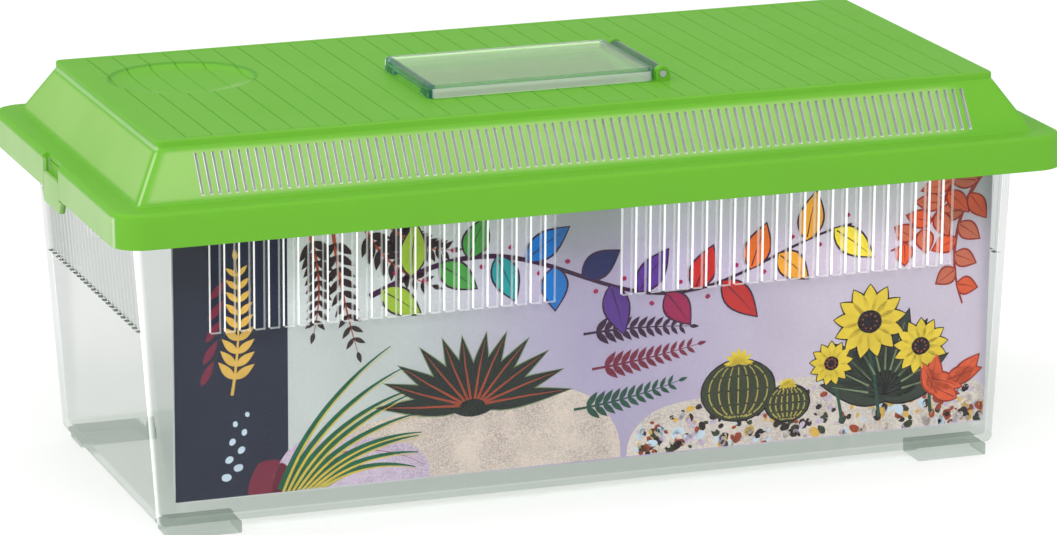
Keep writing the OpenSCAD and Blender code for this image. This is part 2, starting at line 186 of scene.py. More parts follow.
def moulded_shell(name, outer, inner, columns, is_open, closed_end, materials, lining=None):
    """A wall between two stacks of rings, with its open cells lined, closed at the low or high end.
    Corners stay whole. A lining's material is chosen by its row, its side and its own edge."""
    count, rows = len(outer[0]), len(outer)
    verts = [point for stack in (outer, inner) for row in stack for point in row]

    def at(face, corner):
        return (face * rows + corner[0]) * count + corner[1] % count

    def present(i, j):
        side, k = columns[j % count]
        return 0 <= i < rows - 1 and (k < 0 or not is_open(i, side, k))

    closed_row = -1 if closed_end == "low" else rows - 1
    faces, linings = [], {}
    for i in range(rows - 1):
        for j in range(count):
            if not present(i, j):
                continue
            corners = [(i, j), (i, j + 1), (i + 1, j + 1), (i + 1, j)]
            faces.append([at(0, c) for c in corners])
            faces.append([at(1, c) for c in reversed(corners)])
            for k, beyond in enumerate([(i - 1, j), (i, j + 1), (i + 1, j), (i, j - 1)]):
                if beyond[0] == closed_row or present(*beyond):
                    continue
                a, b = corners[k], corners[(k + 1) % 4]
                if lining and 0 <= beyond[0] < rows - 1:
                    linings[len(faces)] = lining(columns[beyond[1] % count][0], k)
                faces.append([at(0, b), at(0, a), at(1, a), at(1, b)])
    end_row = 0 if closed_end == "low" else rows - 1
    outer_cap = [at(0, (end_row, j)) for j in range(count)]
    inner_cap = [at(1, (end_row, j)) for j in range(count)]
    if closed_end == "low":
        faces += [outer_cap[::-1], inner_cap]
    else:
        faces += [outer_cap, inner_cap[::-1]]
    piece = new_piece(name, verts, faces)
    dress(piece, *materials)
    for face, index in linings.items():
        piece.data.polygons[face].material_index = index
    return piece


def slot_edges(low, high, slot, bar):
    """Both edges of each slot that fits between two ends."""
    pitch = slot + bar
    count = int((high - low + bar) / pitch + 1e-6)
    start = (low + high - count * pitch + bar) / 2
    return [start + i * pitch + edge for i in range(count) for edge in (0, slot)]


def add_modifier(piece, kind, name, **values):
    """Adds a modifier and sets the values given."""
    modifier = piece.modifiers.new(name, kind)
    for key, value in values.items():
        setattr(modifier, key, value)
    return modifier


def settle(piece):
    """Puts a piece's modifiers into its mesh."""
    graph = bpy.context.evaluated_depsgraph_get()
    old = piece.data
    piece.data = bpy.data.meshes.new_from_object(piece.evaluated_get(graph))
    piece.modifiers.clear()
    bpy.data.meshes.remove(old)


def carve(piece, tool, operation="DIFFERENCE"):
    """Cuts a tool out of a piece, or joins it on, and puts the tool away."""
    add_modifier(piece, "BOOLEAN", "carve", operation=operation, object=tool, solver="EXACT")
    settle(piece)
    bpy.data.objects.remove(tool)


def ease_edges(piece, width, segments=2, angle=32):
    """Rounds every edge sharper than the angle."""
    add_modifier(piece, "BEVEL", "eased edges", width=width, segments=segments,
                 limit_method="ANGLE", angle_limit=math.radians(angle))


def smooth(piece, angle=28):
    """Smooth shading that stays crisp at sharp edges."""
    bm = bmesh.new()
    bm.from_mesh(piece.data)
    for face in bm.faces:
        face.smooth = True
    for edge in bm.edges:
        edge.smooth = len(edge.link_faces) == 2 and edge.calc_face_angle(0) < math.radians(angle)
    bm.to_mesh(piece.data)
    bm.free()
    add_modifier(piece, "WEIGHTED_NORMAL", "flat faces stay flat", keep_sharp=True)


def prism(name, outline, low, high, centre=(0, 0)):
    """An upright block with a drawn outline, anticlockwise."""
    count = len(outline)
    verts = [(centre[0] + x, centre[1] + y, z) for z in (low, high) for x, y in outline]
    faces = [list(range(count))[::-1], list(range(count, 2 * count))]
    faces += [[i, (i + 1) % count, count + (i + 1) % count, count + i] for i in range(count)]
    return new_piece(name, verts, faces)


def turned(name, profile, steps, place):
    """A solid turned from (along, radius) points on an axis of its own, then put in place."""
    verts, faces = [], []
    for along, radius in profile:
        for step in range(steps):
            turn = 2 * math.pi * step / steps
            verts.append(place @ Vector((radius * math.cos(turn), radius * math.sin(turn), along)))
    for i in range(len(profile) - 1):
        for j in range(steps):
            k = (j + 1) % steps
            faces.append([i * steps + j, i * steps + k, (i + 1) * steps + k, (i + 1) * steps + j])
    last = (len(profile) - 1) * steps
    faces += [list(range(steps))[::-1], list(range(last, last + steps))]
    return new_piece(name, verts, faces)


# ---------------------------------------------------------------- tub
def tub_wall_ring(z, inset, long_stops, end_stops):
    """A level ring of the tub's drafted wall, or of its inner face."""
    grown = DRAFT * (z - base_z) - inset
    return wall_ring(BASE_X + grown, BASE_Y + grown, BASE_CORNER + grown, z,
                     long_stops, end_stops)


def make_tub():
    """Drafted walls with slots, a rounded base and a turned-down rim, in one moulding."""
    right_group = slot_edges(long_vent_low.x + VENT_FRAME, long_vent_high.x - VENT_FRAME,
                             VENT_SLOT, VENT_BAR)
    long_stops = [-x for x in reversed(right_group)] + right_group
    end_stops = slot_edges(end_vent_low.y + VENT_FRAME, end_vent_high.y - VENT_FRAME,
                           VENT_SLOT, VENT_BAR)

    def wall(z, inset=0.0):
        return tub_wall_ring(z, inset, long_stops, end_stops)

    def lip(inset, z):
        return wall_ring(tub_high.x - inset, tub_high.y - inset, RIM_CORNER - inset, z,
                         long_stops, end_stops)

    outer, inner = [], []
    turns = [math.pi / 6 * k for k in range(4)]
    for turn in turns:
        drop, side = 1 - math.cos(turn), 1 - math.sin(turn)
        outer.append(wall(base_z + BASE_ROUND * drop, BASE_ROUND * side))
        inner.append(wall(floor_z + FLOOR_ROUND * drop, TUB_WALL + FLOOR_ROUND * side))
    vent_row = len(outer)
    for z in (vent_low_z, vent_high_z):
        outer.append(wall(z))
        inner.append(wall(z, TUB_WALL))
    outer += [wall(rim_z - RIM_WALL), lip(RIM_WALL, rim_z - RIM_WALL),
              lip(RIM_WALL, rim_z - RIM_TURN)]
    inner += [wall(rim_z, TUB_WALL), lip(0, rim_z), lip(0, rim_z - RIM_TURN)]
    tub = moulded_shell("tub_moulding", outer, inner, ring_columns(long_stops, end_stops),
                        lambda row, side, k: row == vent_row and k % 2 == 1, "low",
                        # The front wall's slots are lined with the painted highlight, the end
                        # slots' lower ends with painted shade.
                        (clear, slot_highlight, slot_foot_shade),
                        lambda side, edge: 1 if side == 0 else (2 if edge == 2 else 0))
    ease_edges(tub, TUB_EASE)
    settle(tub)
    smooth(tub)
    return tub


# ---------------------------------------------------------------- lid
def dish_depth(distance):
    """Depth of the dish at a distance from its middle."""
    for (r0, d0), (r1, d1) in zip(DISH_PROFILE, DISH_PROFILE[1:]):
        if distance < r1 * MM:
            return (d0 + (d1 - d0) * (distance / MM - r0) / (r1 - r0)) * MM
    return 0.0


def groove_tool():
    """The blades that cut the fine grooves across the top, following the dish."""
    groove_x, groove_y = top_x - GROOVE_END_INSET, top_y - GROOVE_SIDE_INSET
    count = int(2 * groove_x / GROOVE_PITCH)
    verts, faces = [], []
    dish_stops = [DISH_Y + DISH_R * (k / 14) for k in range(-14, 15)]
    for i in range(count + 1):
        x = (i - count / 2) * GROOVE_PITCH
        in_dish = abs(x - DISH_X) < DISH_R
        ys = [-groove_y, *(dish_stops if in_dish else []), groove_y]
        first = len(verts)
        for y in ys:
            z = top_z - dish_depth(math.hypot(x - DISH_X, y - DISH_Y))
            half = GROOVE_WIDTH / 2
            verts += [(x - half * 1.5, y, top_z + MM), (x - half, y, z), (x, y, z - GROOVE_DEPTH),
                      (x + half, y, z), (x + half * 1.5, y, top_z + MM)]
        for k in range(len(ys) - 1):
            a, b = first + 5 * k, first + 5 * (k + 1)
            faces += [[a + m, b + m, b + (m + 1) % 5, a + (m + 1) % 5] for m in range(5)]
        faces += [[first + m for m in range(5)], [b + m for m in range(4, -1, -1)]]
    return new_piece("groove_tool", verts, faces), count * GROOVE_PITCH / 2, groove_y


def border_groove_tool(half_length, groove_y):
    """The two blades that cut the grooves along the top's long sides."""
    verts, faces = [], []
    for side in (-1, 1):
        first = len(verts)
        for x in (-half_length, half_length):
            for across, z in ((-1.5, MM), (-1, 0), (0, -GROOVE_DEPTH), (1, 0), (1.5, MM)):
                verts.append((x, side * groove_y + across * GROOVE_WIDTH / 2, top_z + z))
        faces += [[first + m, first + (m + 1) % 5, first + 5 + (m + 1) % 5, first + 5 + m]
                  for m in range(5)]
        faces += [[first + m for m in range(4, -1, -1)], [first + 5 + m for m in range(5)]]
    return new_piece("border_groove_tool", verts, faces)


def rounded_outline(half_x, half_y, corner_r):
    """A rectangle with round corners, anticlockwise."""
    return [(p.x, p.y) for p in wall_ring(half_x, half_y, corner_r, 0)]


def lid_rings(long_stops, end_stops):
    """The lid's outer and inner rings from the skirt's edge up, with the number of rows that the
    latch notches reach through and the row of the slots."""

    def ring(half_x, half_y, corner_r, z):
        return wall_ring(half_x, half_y, corner_r, z, long_stops, end_stops)

    def edge(inset, z):
        return ring(lid_x - inset, lid_y - inset, LID_CORNER - inset, z)

    def slope(z, inset=0.0, corner_r=HIP_ROUND):
        rise = z - flange_z
        wall_end = inset * math.sqrt(1 + lean_end ** 2)
        wall_side = inset * math.sqrt(1 + lean_side ** 2)
        return ring(lid_x - FLANGE_END - lean_end * rise - wall_end,
                    lid_y - FLANGE_SIDE - lean_side * rise - wall_side, corner_r, z)

    outer, inner = [edge(0, skirt_z)], [edge(LID_WALL, skirt_z)]
    for k in range(4):
        turn = math.pi / 6 * k
        outer.append(edge(SKIRT_ROUND * (1 - math.cos(turn)),
                          flange_z - SKIRT_ROUND * (1 - math.sin(turn))))
        inner.append(edge(LID_WALL, skirt_z + (flange_under_z - skirt_z) * (k + 1) / 5))
    notch_rows = len(outer)
    outer += [edge(LID_WALL, flange_z), slope(flange_z)]
    inner += [edge(LID_WALL, flange_under_z), slope(flange_under_z, LID_WALL, INNER_CORNER)]
    slot_row = len(outer)
    for z in (grille_low.z + GRILLE_FRAME, grille_high.z - GRILLE_FRAME):
        outer.append(slope(z))
        inner.append(slope(z, GRILLE_DEPTH, INNER_CORNER))
    outer.append(slope(slope_top_z))
    inner.append(slope(slope_top_z - UNDER_STEP, LID_WALL, INNER_CORNER))
    for k, turn in enumerate((0, math.pi / 4, math.pi / 2)):
        inset = STEP_ROUND * (1 - math.cos(turn))
        outer.append(ring(top_x - inset, top_y - inset, HIP_ROUND - inset,
                          top_z - STEP_ROUND * (1 - math.sin(turn))))
        inner.append(ring(top_x - UNDER_TOP_END - k * MM, top_y - UNDER_TOP_SIDE - k * MM,
                          INNER_CORNER, top_under_z))
    return outer, inner, notch_rows, slot_row


def cut_top(lid):
    """Sinks the round dish, cuts the fine grooves across it and opens the feeding opening."""
    place = Matrix.Translation((DISH_X, DISH_Y, top_z))
    pan = [(-depth * MM, r * MM) for r, depth in DISH_PAN]
    carve(lid, turned("dish_pan", pan, DISH_STEPS, place), "UNION")
    hollow = [(-depth * MM, max(r, 0.5) * MM) for r, depth in DISH_PROFILE] + [(MM, DISH_MOUTH)]
    carve(lid, turned("dish_hollow", hollow, DISH_STEPS, place))
    grooves, groove_half_x, groove_y = groove_tool()
    carve(lid, grooves)
    carve(lid, border_groove_tool(groove_half_x + GROOVE_WIDTH / 2, groove_y))
    opening = rounded_outline(HATCH_SIZE_X / 2 - HATCH_OVERLAP, HATCH_SIZE_Y / 2 - HATCH_OVERLAP,
                              OPENING_CORNER)
    carve(lid, prism("opening_tool", opening, top_under_z - MM, top_z + MM,
                     (hatch_mid_x, hatch_mid_y)))


def make_lid():
    """Skirt, flange, four slopes with fine slots, a step and the grooved, dished top."""
    long_stops = slot_edges(grille_low.x + GRILLE_FRAME, grille_high.x - GRILLE_FRAME,
                            SLOPE_SLOT, SLOPE_BAR)
    end_stops = [-NOTCH_HALF, NOTCH_HALF]
    outer, inner, notch_rows, slot_row = lid_rings(long_stops, end_stops)

    def is_open(row, side, k):
        if side % 2 == 0:
            return row == slot_row and k % 2 == 1
        return row < notch_rows and k == 1

    lid = moulded_shell("lid_moulding", outer, inner, ring_columns(long_stops, end_stops),
                        # The long sides' slots are lined with grey painted shade.
                        is_open, "high", (lime, lid_slot_shade(finish_group)),
                        lambda side, edge: 1 if side % 2 == 0 else 0)
    ease_edges(lid, LID_EASE)
    settle(lid)
    for vertex in lid.data.vertices:
        vertex.co.x = min(max(vertex.co.x, -lid_x), lid_x)
    cut_top(lid)
    smooth(lid)
    return lid


# ---------------------------------------------------------------- hatch
def make_hatch():
    """A clear tray upside down, with a finger notch and a bar along its hinged end."""
    half_x, half_y = HATCH_SIZE_X / 2, HATCH_SIZE_Y / 2
    end_stops = [-FINGER_HALF, FINGER_HALF]

    def ring(inset, corner_r, z):
        return [p + Vector((hatch_mid_x, hatch_mid_y, 0)) for p in
                wall_ring(half_x - inset, half_y - inset, corner_r, z, (), end_stops)]

    low, high = hatch_low.z, hatch_high.z
    ceiling = high - HATCH_WALL
    outer, inner = [], []
    for z in (low, low + FINGER_HEIGHT):
        outer.append(ring(0, HATCH_CORNER, z))
        inner.append(ring(HATCH_WALL, INNER_CORNER, min(z, ceiling - HATCH_INNER_ROUND)))
    for k in range(4):
        turn = math.pi / 6 * k
        drop, side = 1 - math.sin(turn), 1 - math.cos(turn)
        outer.append(ring(HATCH_ROUND * side, HATCH_CORNER - HATCH_ROUND * side,
                          high - HATCH_ROUND * drop))
        inner.append(ring(HATCH_WALL + HATCH_INNER_ROUND * side + HAIR, INNER_CORNER,
                          ceiling - HATCH_INNER_ROUND * drop * 0.9))
    hatch = moulded_shell("hatch_moulding", outer, inner, ring_columns((), end_stops),
                          lambda row, side, k: row == 0 and side == 3 and k == 1, "high",
                          (teal,))
    ease_edges(hatch, HATCH_EASE)
    settle(hatch)
    bar = [(-bar_half, BAR_END_R), (-bar_half + BAR_EASE, BAR_R), (bar_half - BAR_EASE, BAR_R),
           (bar_half, BAR_END_R)]
    along_y = Matrix.Translation((hinge_x, hatch_mid_y, hinge_z)) @ Matrix.Rotation(
        math.pi / 2, 4, "X")
    carve(hatch, turned("hatch_bar", bar, 32, along_y), "UNION")
    web_from = hatch_mid_x + half_x - HATCH_WALL / 2
    web = [(web_from, -bar_half), (hinge_x, -bar_half), (hinge_x, bar_half), (web_from, bar_half)]
    carve(hatch, prism("hatch_web", web, hinge_z - WEB_HEIGHT / 2, hinge_z + WEB_HEIGHT / 2,
                       (0, hatch_mid_y)), "UNION")
    smooth(hatch)
    return hatch


# ---------------------------------------------------------------- card
CARD_FLARE = 0.6 * MM
CARD_GAP = 0.2 * MM
CARD_THICK = 0.5 * MM
CARD_CORNER = 1.2 * MM


def card_front(z):
    """The y of the card's printed face at a height."""
    share = (z - card_low.z) / (card_high.z - card_low.z)
    low_y = -(BASE_Y + DRAFT * (card_low.z - base_z)) + TUB_WALL + CARD_GAP
    return low_y + share * (card_low.y - low_y)


def card_right(z):
    """The x of the card's right end at a height; it leans out with the tub."""
    return card_high.x - CARD_FLARE * (card_high.z - z) / (card_high.z - card_low.z)


def make_card():
    """The printed card's board; its back and its edges are plain."""
    middle, half = (card_low + card_high) / 2, (card_high - card_low) / 2
    front = []
    for p in wall_ring(half.x, half.z, CARD_CORNER, 0):
        x, z = middle.x + p.x, middle.z + p.y
        lean = card_right(z) - card_high.x if p.x > 0 else 0
        front.append((x + lean, card_front(z), z))
    back = [(x, y + CARD_THICK, z) for x, y, z in front]
    count = len(front)
    faces = [list(range(count)), list(range(count, 2 * count))[::-1]]
    faces += [[(i + 1) % count, i, count + i, count + (i + 1) % count] for i in range(count)]
    return new_piece("card_board", front + back, faces)


# ---------------------------------------------------------------- the card's print
# The print is drawn in millimetres on the card's face: x along it, z up from its lower edge.
PRINT_STEP, PRINT_THICK = 0.013 * MM, 0.007 * MM
PRINT_MARGIN = 0.4
print_left = card_low.x / MM + PRINT_MARGIN
print_high = (card_high.z - card_low.z) / MM - PRINT_MARGIN
STRIP_RIGHT = -98.8

INKS = {
    "night": (42, 47, 64), "plum": (62, 36, 62), "maroon": (122, 46, 66), "gold": (222, 180, 88),
    "dew": (202, 220, 236), "beige stone": (212, 198, 188), "lilac stone": (200, 184, 206),
    "agave": (40, 48, 44), "agave edge": (132, 150, 112), "rust": (158, 74, 52),
    "bark": (52, 42, 44), "grass": (34, 98, 70), "straw": (206, 188, 84), "sand": (214, 204, 196),
    "cactus": (60, 66, 50), "cactus rib": (170, 160, 84), "petal": (236, 206, 66),
    "seed": (34, 28, 34), "coal leaf": (58, 66, 58), "ember": (226, 96, 58),
    "terracotta": (206, 112, 86), "terracotta patch": (158, 56, 48), "pine": (48, 84, 70),
    "violet": (92, 58, 142), "indigo": (38, 44, 98), "blue": (34, 116, 196),
    "teal": (46, 146, 150), "green": (74, 150, 70), "lime": (150, 180, 62),
    "yellow": (244, 222, 70), "amber": (238, 168, 62), "orange": (226, 112, 50),
    "red": (196, 50, 48), "crimson": (158, 38, 84),
}
GRAINY_INKS = ("beige stone", "lilac stone", "sand")
PEBBLES = ["sand", "sand", "beige stone", "lilac stone", "dew", "rust", "cactus", "bark", "gold"]
RAINBOW = ["lime", "green", "teal", "blue", "indigo", "violet", "crimson", "red", "orange",
           "amber", "yellow"]


class CardPrint:
    """Thin closed patches of ink, each on its own layer in front of the card."""

    def __init__(self):
        self.verts, self.faces, self.inks = [], [], []

    def patch(self, ink, outline, layer):
        """Adds one patch, kept within the card's edges."""
        kept = []
        for x, z in outline:
            z = min(max(z, PRINT_MARGIN), print_high)
            right = card_right(card_low.z + z * MM) / MM - PRINT_MARGIN
            point = (min(max(x, print_left), right), z)
            if not kept or math.dist(point, kept[-1]) > 0.02:
                kept.append(point)
        first, count = len(self.verts), len(kept)
        for lift in (layer * PRINT_STEP + PRINT_THICK, layer * PRINT_STEP):
            for x, z in kept:
                high = card_low.z + z * MM
                self.verts.append((x * MM, card_front(high) - lift, high))
        front = [first + k for k in range(count)]
        back = [first + count + k for k in range(count)]
        self.faces += [front, back[::-1]]
        self.faces += [[front[k - 1], back[k - 1], back[k], front[k]] for k in range(count)]
        self.inks += [ink] * (count + 2)

    def piece(self):
        """The finished print, with a material for each ink that it uses."""
        made = new_piece("card_print", self.verts, self.faces)
        names = sorted(set(self.inks))
        for name in names:
            made.data.materials.append(printed_ink(name, INKS[name]))
        for face, ink in zip(made.data.polygons, self.inks):
            face.material_index = names.index(ink)
        return made


def placed(outline, x, z, angle):
    """An outline turned by an angle in degrees and moved to a place."""
    c, s = math.cos(math.radians(angle)), math.sin(math.radians(angle))
    return [(x + c * u - s * v, z + s * u + c * v) for u, v in outline]


def leaf_shape(length, width, fullness=0.8, steps=9):
    """A leaf that grows along +x from its stalk."""
    edge = [(length * k / steps, width / 2 * math.sin(math.pi * (k / steps) ** fullness))
            for k in range(1, steps)]
    return [(0, 0)] + [(u, -v) for u, v in edge] + [(length, 0)] + edge[::-1]


def ribbon(path, width, tip_width=0.0):
    """A stroke along a path that thins from one width to another."""
    left, right = [], []
    for k, (x, z) in enumerate(path):
        before, after = path[max(k - 1, 0)], path[min(k + 1, len(path) - 1)]
        dx, dz = after[0] - before[0], after[1] - before[1]
        long = math.hypot(dx, dz)
        half = (width + (tip_width - width) * k / (len(path) - 1)) / 2
        left.append((x - dz / long * half, z + dx / long * half))
        right.append((x + dz / long * half, z - dx / long * half))
    return right + left[::-1]


def stone_shape(half_x, half_z, corners=9, uneven=0.12):
    """An uneven pebble, or a round dot when it has many corners and little unevenness."""
    turns = [2 * math.pi * k / corners for k in range(corners)]
    grown = [1 + dice.uniform(-uneven, uneven) for _ in turns]
    return [(half_x * g * math.cos(t), half_z * g * math.sin(t)) for t, g in zip(turns, grown)]


def mound_shape(x, half, high, lean=0.0, steps=26):
    """A smooth boulder that rises from the card's lower edge."""
    top = []
    for k in range(steps + 1):
        turn = math.pi * k / steps
        swell = 1 + 0.05 * math.sin(3.1 * turn + half) + 0.03 * math.sin(7.3 * turn + high)
        top.append((x + half * math.cos(turn) + lean * math.sin(turn) ** 2,
                    PRINT_MARGIN + high * swell * max(math.sin(turn), 0) ** 0.8))
    return top


def arc_path(x, z, angle, length, bend, steps=10):
    """Points along a stem that bends steadily by so many degrees."""
    path = [(x, z)]
    for k in range(steps):
        turn = math.radians(angle + bend * (k + 0.5) / steps)
        path.append((path[-1][0] + length / steps * math.cos(turn),
                     path[-1][1] + length / steps * math.sin(turn)))
    return path


def along_arc(path, share):
    """The place and the direction, in degrees, at a share of a path."""
    k = min(int(share * (len(path) - 1)), len(path) - 2)
    part = share * (len(path) - 1) - k
    (x0, z0), (x1, z1) = path[k], path[k + 1]
    return (x0 + (x1 - x0) * part, z0 + (z1 - z0) * part,
            math.degrees(math.atan2(z1 - z0, x1 - x0)))


def print_leaf(art, ink, rim, x, z, angle, length, width, layer):
    """A leaf with a dark rim and a thin midrib."""
    back = placed([(-0.55, 0)], x, z, angle)[0]
    art.patch(rim, placed(leaf_shape(length + 1.3, width + 1.3), *back, angle), layer)
    art.patch(ink, placed(leaf_shape(length, width), x, z, angle), layer + 1)
    rib = [(length * 0.06, 0), (length * 0.5, width * 0.03), (length * 0.9, 0)]
    art.patch(rim, placed(ribbon(rib, 0.45, 0.1), x, z, angle), layer + 2)


def print_sprig(art, ink, stem, x, z, angle, length, bend, leaves, leaf, layer, thick=0.7):
    """A stem with small leaves in pairs that shrink towards its tip."""
    path = arc_path(x, z, angle, length, bend)
    art.patch(stem, ribbon(path, thick, 0.2), layer)
    for k in range(leaves):
        share = 0.12 + 0.86 * k / leaves
        px, pz, heading = along_arc(path, share)
        size = leaf * (1 - 0.5 * share)
        for side in (-1, 1):
            art.patch(ink, placed(leaf_shape(size, size * 0.36), px, pz, heading + side * 48),
                      layer + 1)
    tip = path[-1]
    art.patch(ink, placed(leaf_shape(leaf * 0.5, leaf * 0.2), *tip, angle + bend), layer + 1)


def print_strip(art):
    """The dark band at the card's left end, with a golden spray and pale dew."""
    left, top = print_left, print_high
    art.patch("night", [(left, PRINT_MARGIN), (STRIP_RIGHT, PRINT_MARGIN), (STRIP_RIGHT, top),
                        (left, top)], 1)
    art.patch("maroon", mound_shape(-104, 8, 11), 2)
    print_sprig(art, "gold", "gold", -117, 34, 80, 44, 16, 9, 8.5, 3, 1.0)
    for k in range(8):
        art.patch("dew", placed(stone_shape(1.7 - 0.12 * k, 1.3 - 0.08 * k, 12, 0.05),
                                -119 + 3.4 * (k % 2) + 0.5 * k, 7 + 2.9 * k, 15 * k), 3)
    for k in range(5):
        art.patch("maroon", placed(leaf_shape(9, 2.6), -127 + 0.8 * k, 38 + 7 * k, 62 - 4 * k), 3)


def print_stones(art):
    """Two boulders on the left and a bed of gravel on the right."""
    art.patch("beige stone", mound_shape(-42, 54, 27, 12), 1)
    art.patch("lilac stone", mound_shape(-78, 26, 17, -5), 2)
    crease = arc_path(-96, 7, 28, 44, -62)
    art.patch("terracotta patch", ribbon(crease, 0.5, 0.1), 3)
    art.patch("sand", mound_shape(82, 68, 21, -10), 1)
    for k in range(520):
        along = dice.uniform(-1, 1)
        x = 80 + 62 * along
        z = dice.uniform(0.5, 19.5 * math.sqrt(max(1 - 0.8 * along * along, 0.1)))
        size = dice.uniform(0.6, 1.9) * (1.25 - 0.03 * z)
        ink = PEBBLES[dice.randrange(len(PEBBLES))]
        art.patch(ink, placed(stone_shape(size, size * 0.72, 8), x, z, dice.uniform(0, 180)),
                  2 + k % 2)


def print_grass(art):
    """Long arched blades in front of the boulders, each with a straw-coloured edge."""
    for k in range(9):
        path = arc_path(-101 + 1.6 * k, 1.0, 70 - 5 * k, 58 - 3.2 * k, -38 - 5 * (k % 3), 14)
        art.patch("grass", ribbon(path, 3.2, 0.3), 4)
        lower = [(x + 0.5, z - 0.7) for x, z in path]
        art.patch("straw", ribbon(lower, 1.0, 0.15), 5)


def print_agave(art):
    """A dark rosette on the large boulder."""
    art.patch("agave", placed(stone_shape(7, 3.4, 20, 0.02), -38, 22.6, 0), 7)
    for k, angle in enumerate((4, 176, 18, 160, 34, 146, 50, 128, 66, 112, 80, 98)):
        length = 31 - 0.7 * k
        x, z = -38 + 2.2 * math.cos(math.radians(angle)), 23
        blade = leaf_shape(length, 6.4, 0.62)
        art.patch("agave edge", placed(leaf_shape(length + 0.8, 7.2, 0.62), x, z, angle), 3)
        art.patch("agave", placed(blade, x, z, angle), 4 + k % 4)
        spine = [(2, 0), (length * 0.55, 0.25), (length * 0.9, 0)]
        art.patch("rust", placed(ribbon(spine, 0.9, 0.15), x, z, angle), 8)


def print_hanging_fern(art):
    """Dark fronds that hang in from the top of the card, left of the vine."""
    for x, angle, length, bend in ((-92, -70, 34, -34), (-84, -84, 42, 10), (-74, -66, 32, 44),
                                   (-66, -52, 24, 50)):
        print_sprig(art, "bark", "rust", x, print_high, angle, length, bend, 9, 8, 3, 1.3)


def vine_height(x):
    """The winding of the vine along the card."""
    return 63 + 9 * math.sin((x + 70) / 160 * 2.4 * math.pi)


def print_vine(art):
    """A winding vine with large leaves in the colours of the rainbow."""
    xs = [-72 + 162 * k / 40 for k in range(41)]
    art.patch("plum", ribbon([(x, vine_height(x)) for x in xs], 1.9, 0.7), 4)
    count = 17
    for k in range(count):
        x = -68 + 152 * k / (count - 1)
        slope = math.degrees(math.atan2(vine_height(x + 1) - vine_height(x - 1), 2))
        side = 1 if k % 2 else -1
        ink = RAINBOW[k * len(RAINBOW) // count]
        print_leaf(art, ink, "plum", x, vine_height(x), slope + side * (58 + 9 * math.sin(2.3 * k)),
                   15.5 + 2 * math.sin(1.7 * k), 8.2, 5)
        art.patch("crimson", placed(stone_shape(0.9, 0.8, 8), x + 4.5,
                                    vine_height(x + 4.5) - side * 3.4, 0), 5)


def print_small_sprigs(art):
    """Three fine sprigs, one above the other, in the middle of the card."""
    for ink, x, z, bend in (("plum", -1, 43, -10), ("maroon", 2, 31, 8), ("pine", -4, 18, 12)):
        print_sprig(art, ink, ink, x, z, 4, 36, bend, 11, 6.6, 3, 0.9)


def print_cactus(art, x, z, half):
    """A round ribbed cactus with a flower on top."""
    art.patch("seed", placed(stone_shape(half + 0.5, half * 0.82 + 0.5, 26, 0.01), x, z, 0), 4)
    art.patch("cactus", placed(stone_shape(half, half * 0.82, 26, 0.01), x, z, 0), 5)
    for k in range(-3, 4):
        swing = half * 0.27 * k
        rib = [(x + swing * math.cos(t), z + half * 0.76 * math.sin(t))
               for t in [math.pi * (j / 12 - 0.5) for j in range(1, 12)]]
        art.patch("cactus rib", ribbon(rib, 0.55, 0.4), 6)
        for px, pz in rib[1::2]:
            art.patch("seed", placed(stone_shape(0.35, 0.35, 6), px, pz, 0), 7)
    for k in range(7):
        art.patch("petal", placed(leaf_shape(half * 0.42, 1.9), x, z + half * 0.74, 180 * k / 6), 6)


def print_flower(art, x, z, size, petals=13):
    """A yellow daisy with a dark eye."""
    for k in range(petals):
        angle = 360 * k / petals + 7
        art.patch("seed", placed(leaf_shape(size + 0.4, size * 0.46, 1.25), x, z, angle), 7)
        art.patch("petal", placed(leaf_shape(size, size * 0.38, 1.25), x, z, angle), 8)
    art.patch("seed", placed(stone_shape(size * 0.34, size * 0.32, 18, 0.03), x, z, 0), 9)
    for k in range(9):
        art.patch("rust", placed(stone_shape(0.35, 0.35, 6), x + size * 0.2 * math.cos(0.7 * k),
                                 z + size * 0.2 * math.sin(0.7 * k), 0), 10)


def print_flower_bed(art):
    """Dark foliage with yellow daisies, and bright fallen leaves beside it."""
    for k in range(11):
        angle = 12 + 15.5 * k
        x, length = 100 + 0.6 * k, 31 - abs(k - 5)
        print_leaf(art, "coal leaf", "seed", x, 12, angle, length, 9.5, 4)
        art.patch("agave edge", placed(ribbon([(9, 0.3), (length * 0.85, 0.2)], 0.7, 0.2), x, 12,
                                       angle), 6)
    for x, z, size, bend in ((97, 38, 12.5, 10), (115, 28, 9.5, -12), (84, 25, 7.5, 20)):
        art.patch("pine", ribbon(arc_path(x + 4, 5, 96, z - 6, bend), 1.2, 0.8), 6)
        print_flower(art, x, z, size)
    for k in range(6):
        angle = 150 - 34 * k
        x, z = 123 + 5 * math.cos(1.9 * k), 9 + 1.6 * k
        print_leaf(art, "ember", "terracotta patch", x, z, angle, 12.5, 5.6, 8)


def print_corner_creeper(art):
    """A terracotta creeper that hangs down the card's right end."""
    for x, angle, length, bend in ((135.5, -128, 47, 60), (125, -100, 34, -62)):
        path = arc_path(x, print_high, angle, length, bend)
        art.patch("terracotta patch", ribbon(path, 1.6, 0.6), 3)
        for k in range(8):
            px, pz, heading = along_arc(path, 0.08 + 0.11 * k)
            ink = "ember" if k % 3 == 1 else "terracotta"
            print_leaf(art, ink, "terracotta patch", px, pz, heading + (64 if k % 2 else -64),
                       10.5 - 0.5 * k, 5.4, 4 + k % 2)


def make_print():
    """The whole generic design: stones, grasses, leaves and flowers."""
    art = CardPrint()
    for part in (print_strip, print_stones, print_grass, print_agave, print_hanging_fern,
                 print_vine, print_small_sprigs, print_flower_bed, print_corner_creeper):
        part(art)
    print_cactus(art, 52, 19, 12.5)
    print_cactus(art, 69, 13, 7.5)
    return art.piece()


# ---------------------------------------------------------------- materials
BLACK, WHITE = (0, 0, 0, 1), (1, 1, 1, 1)


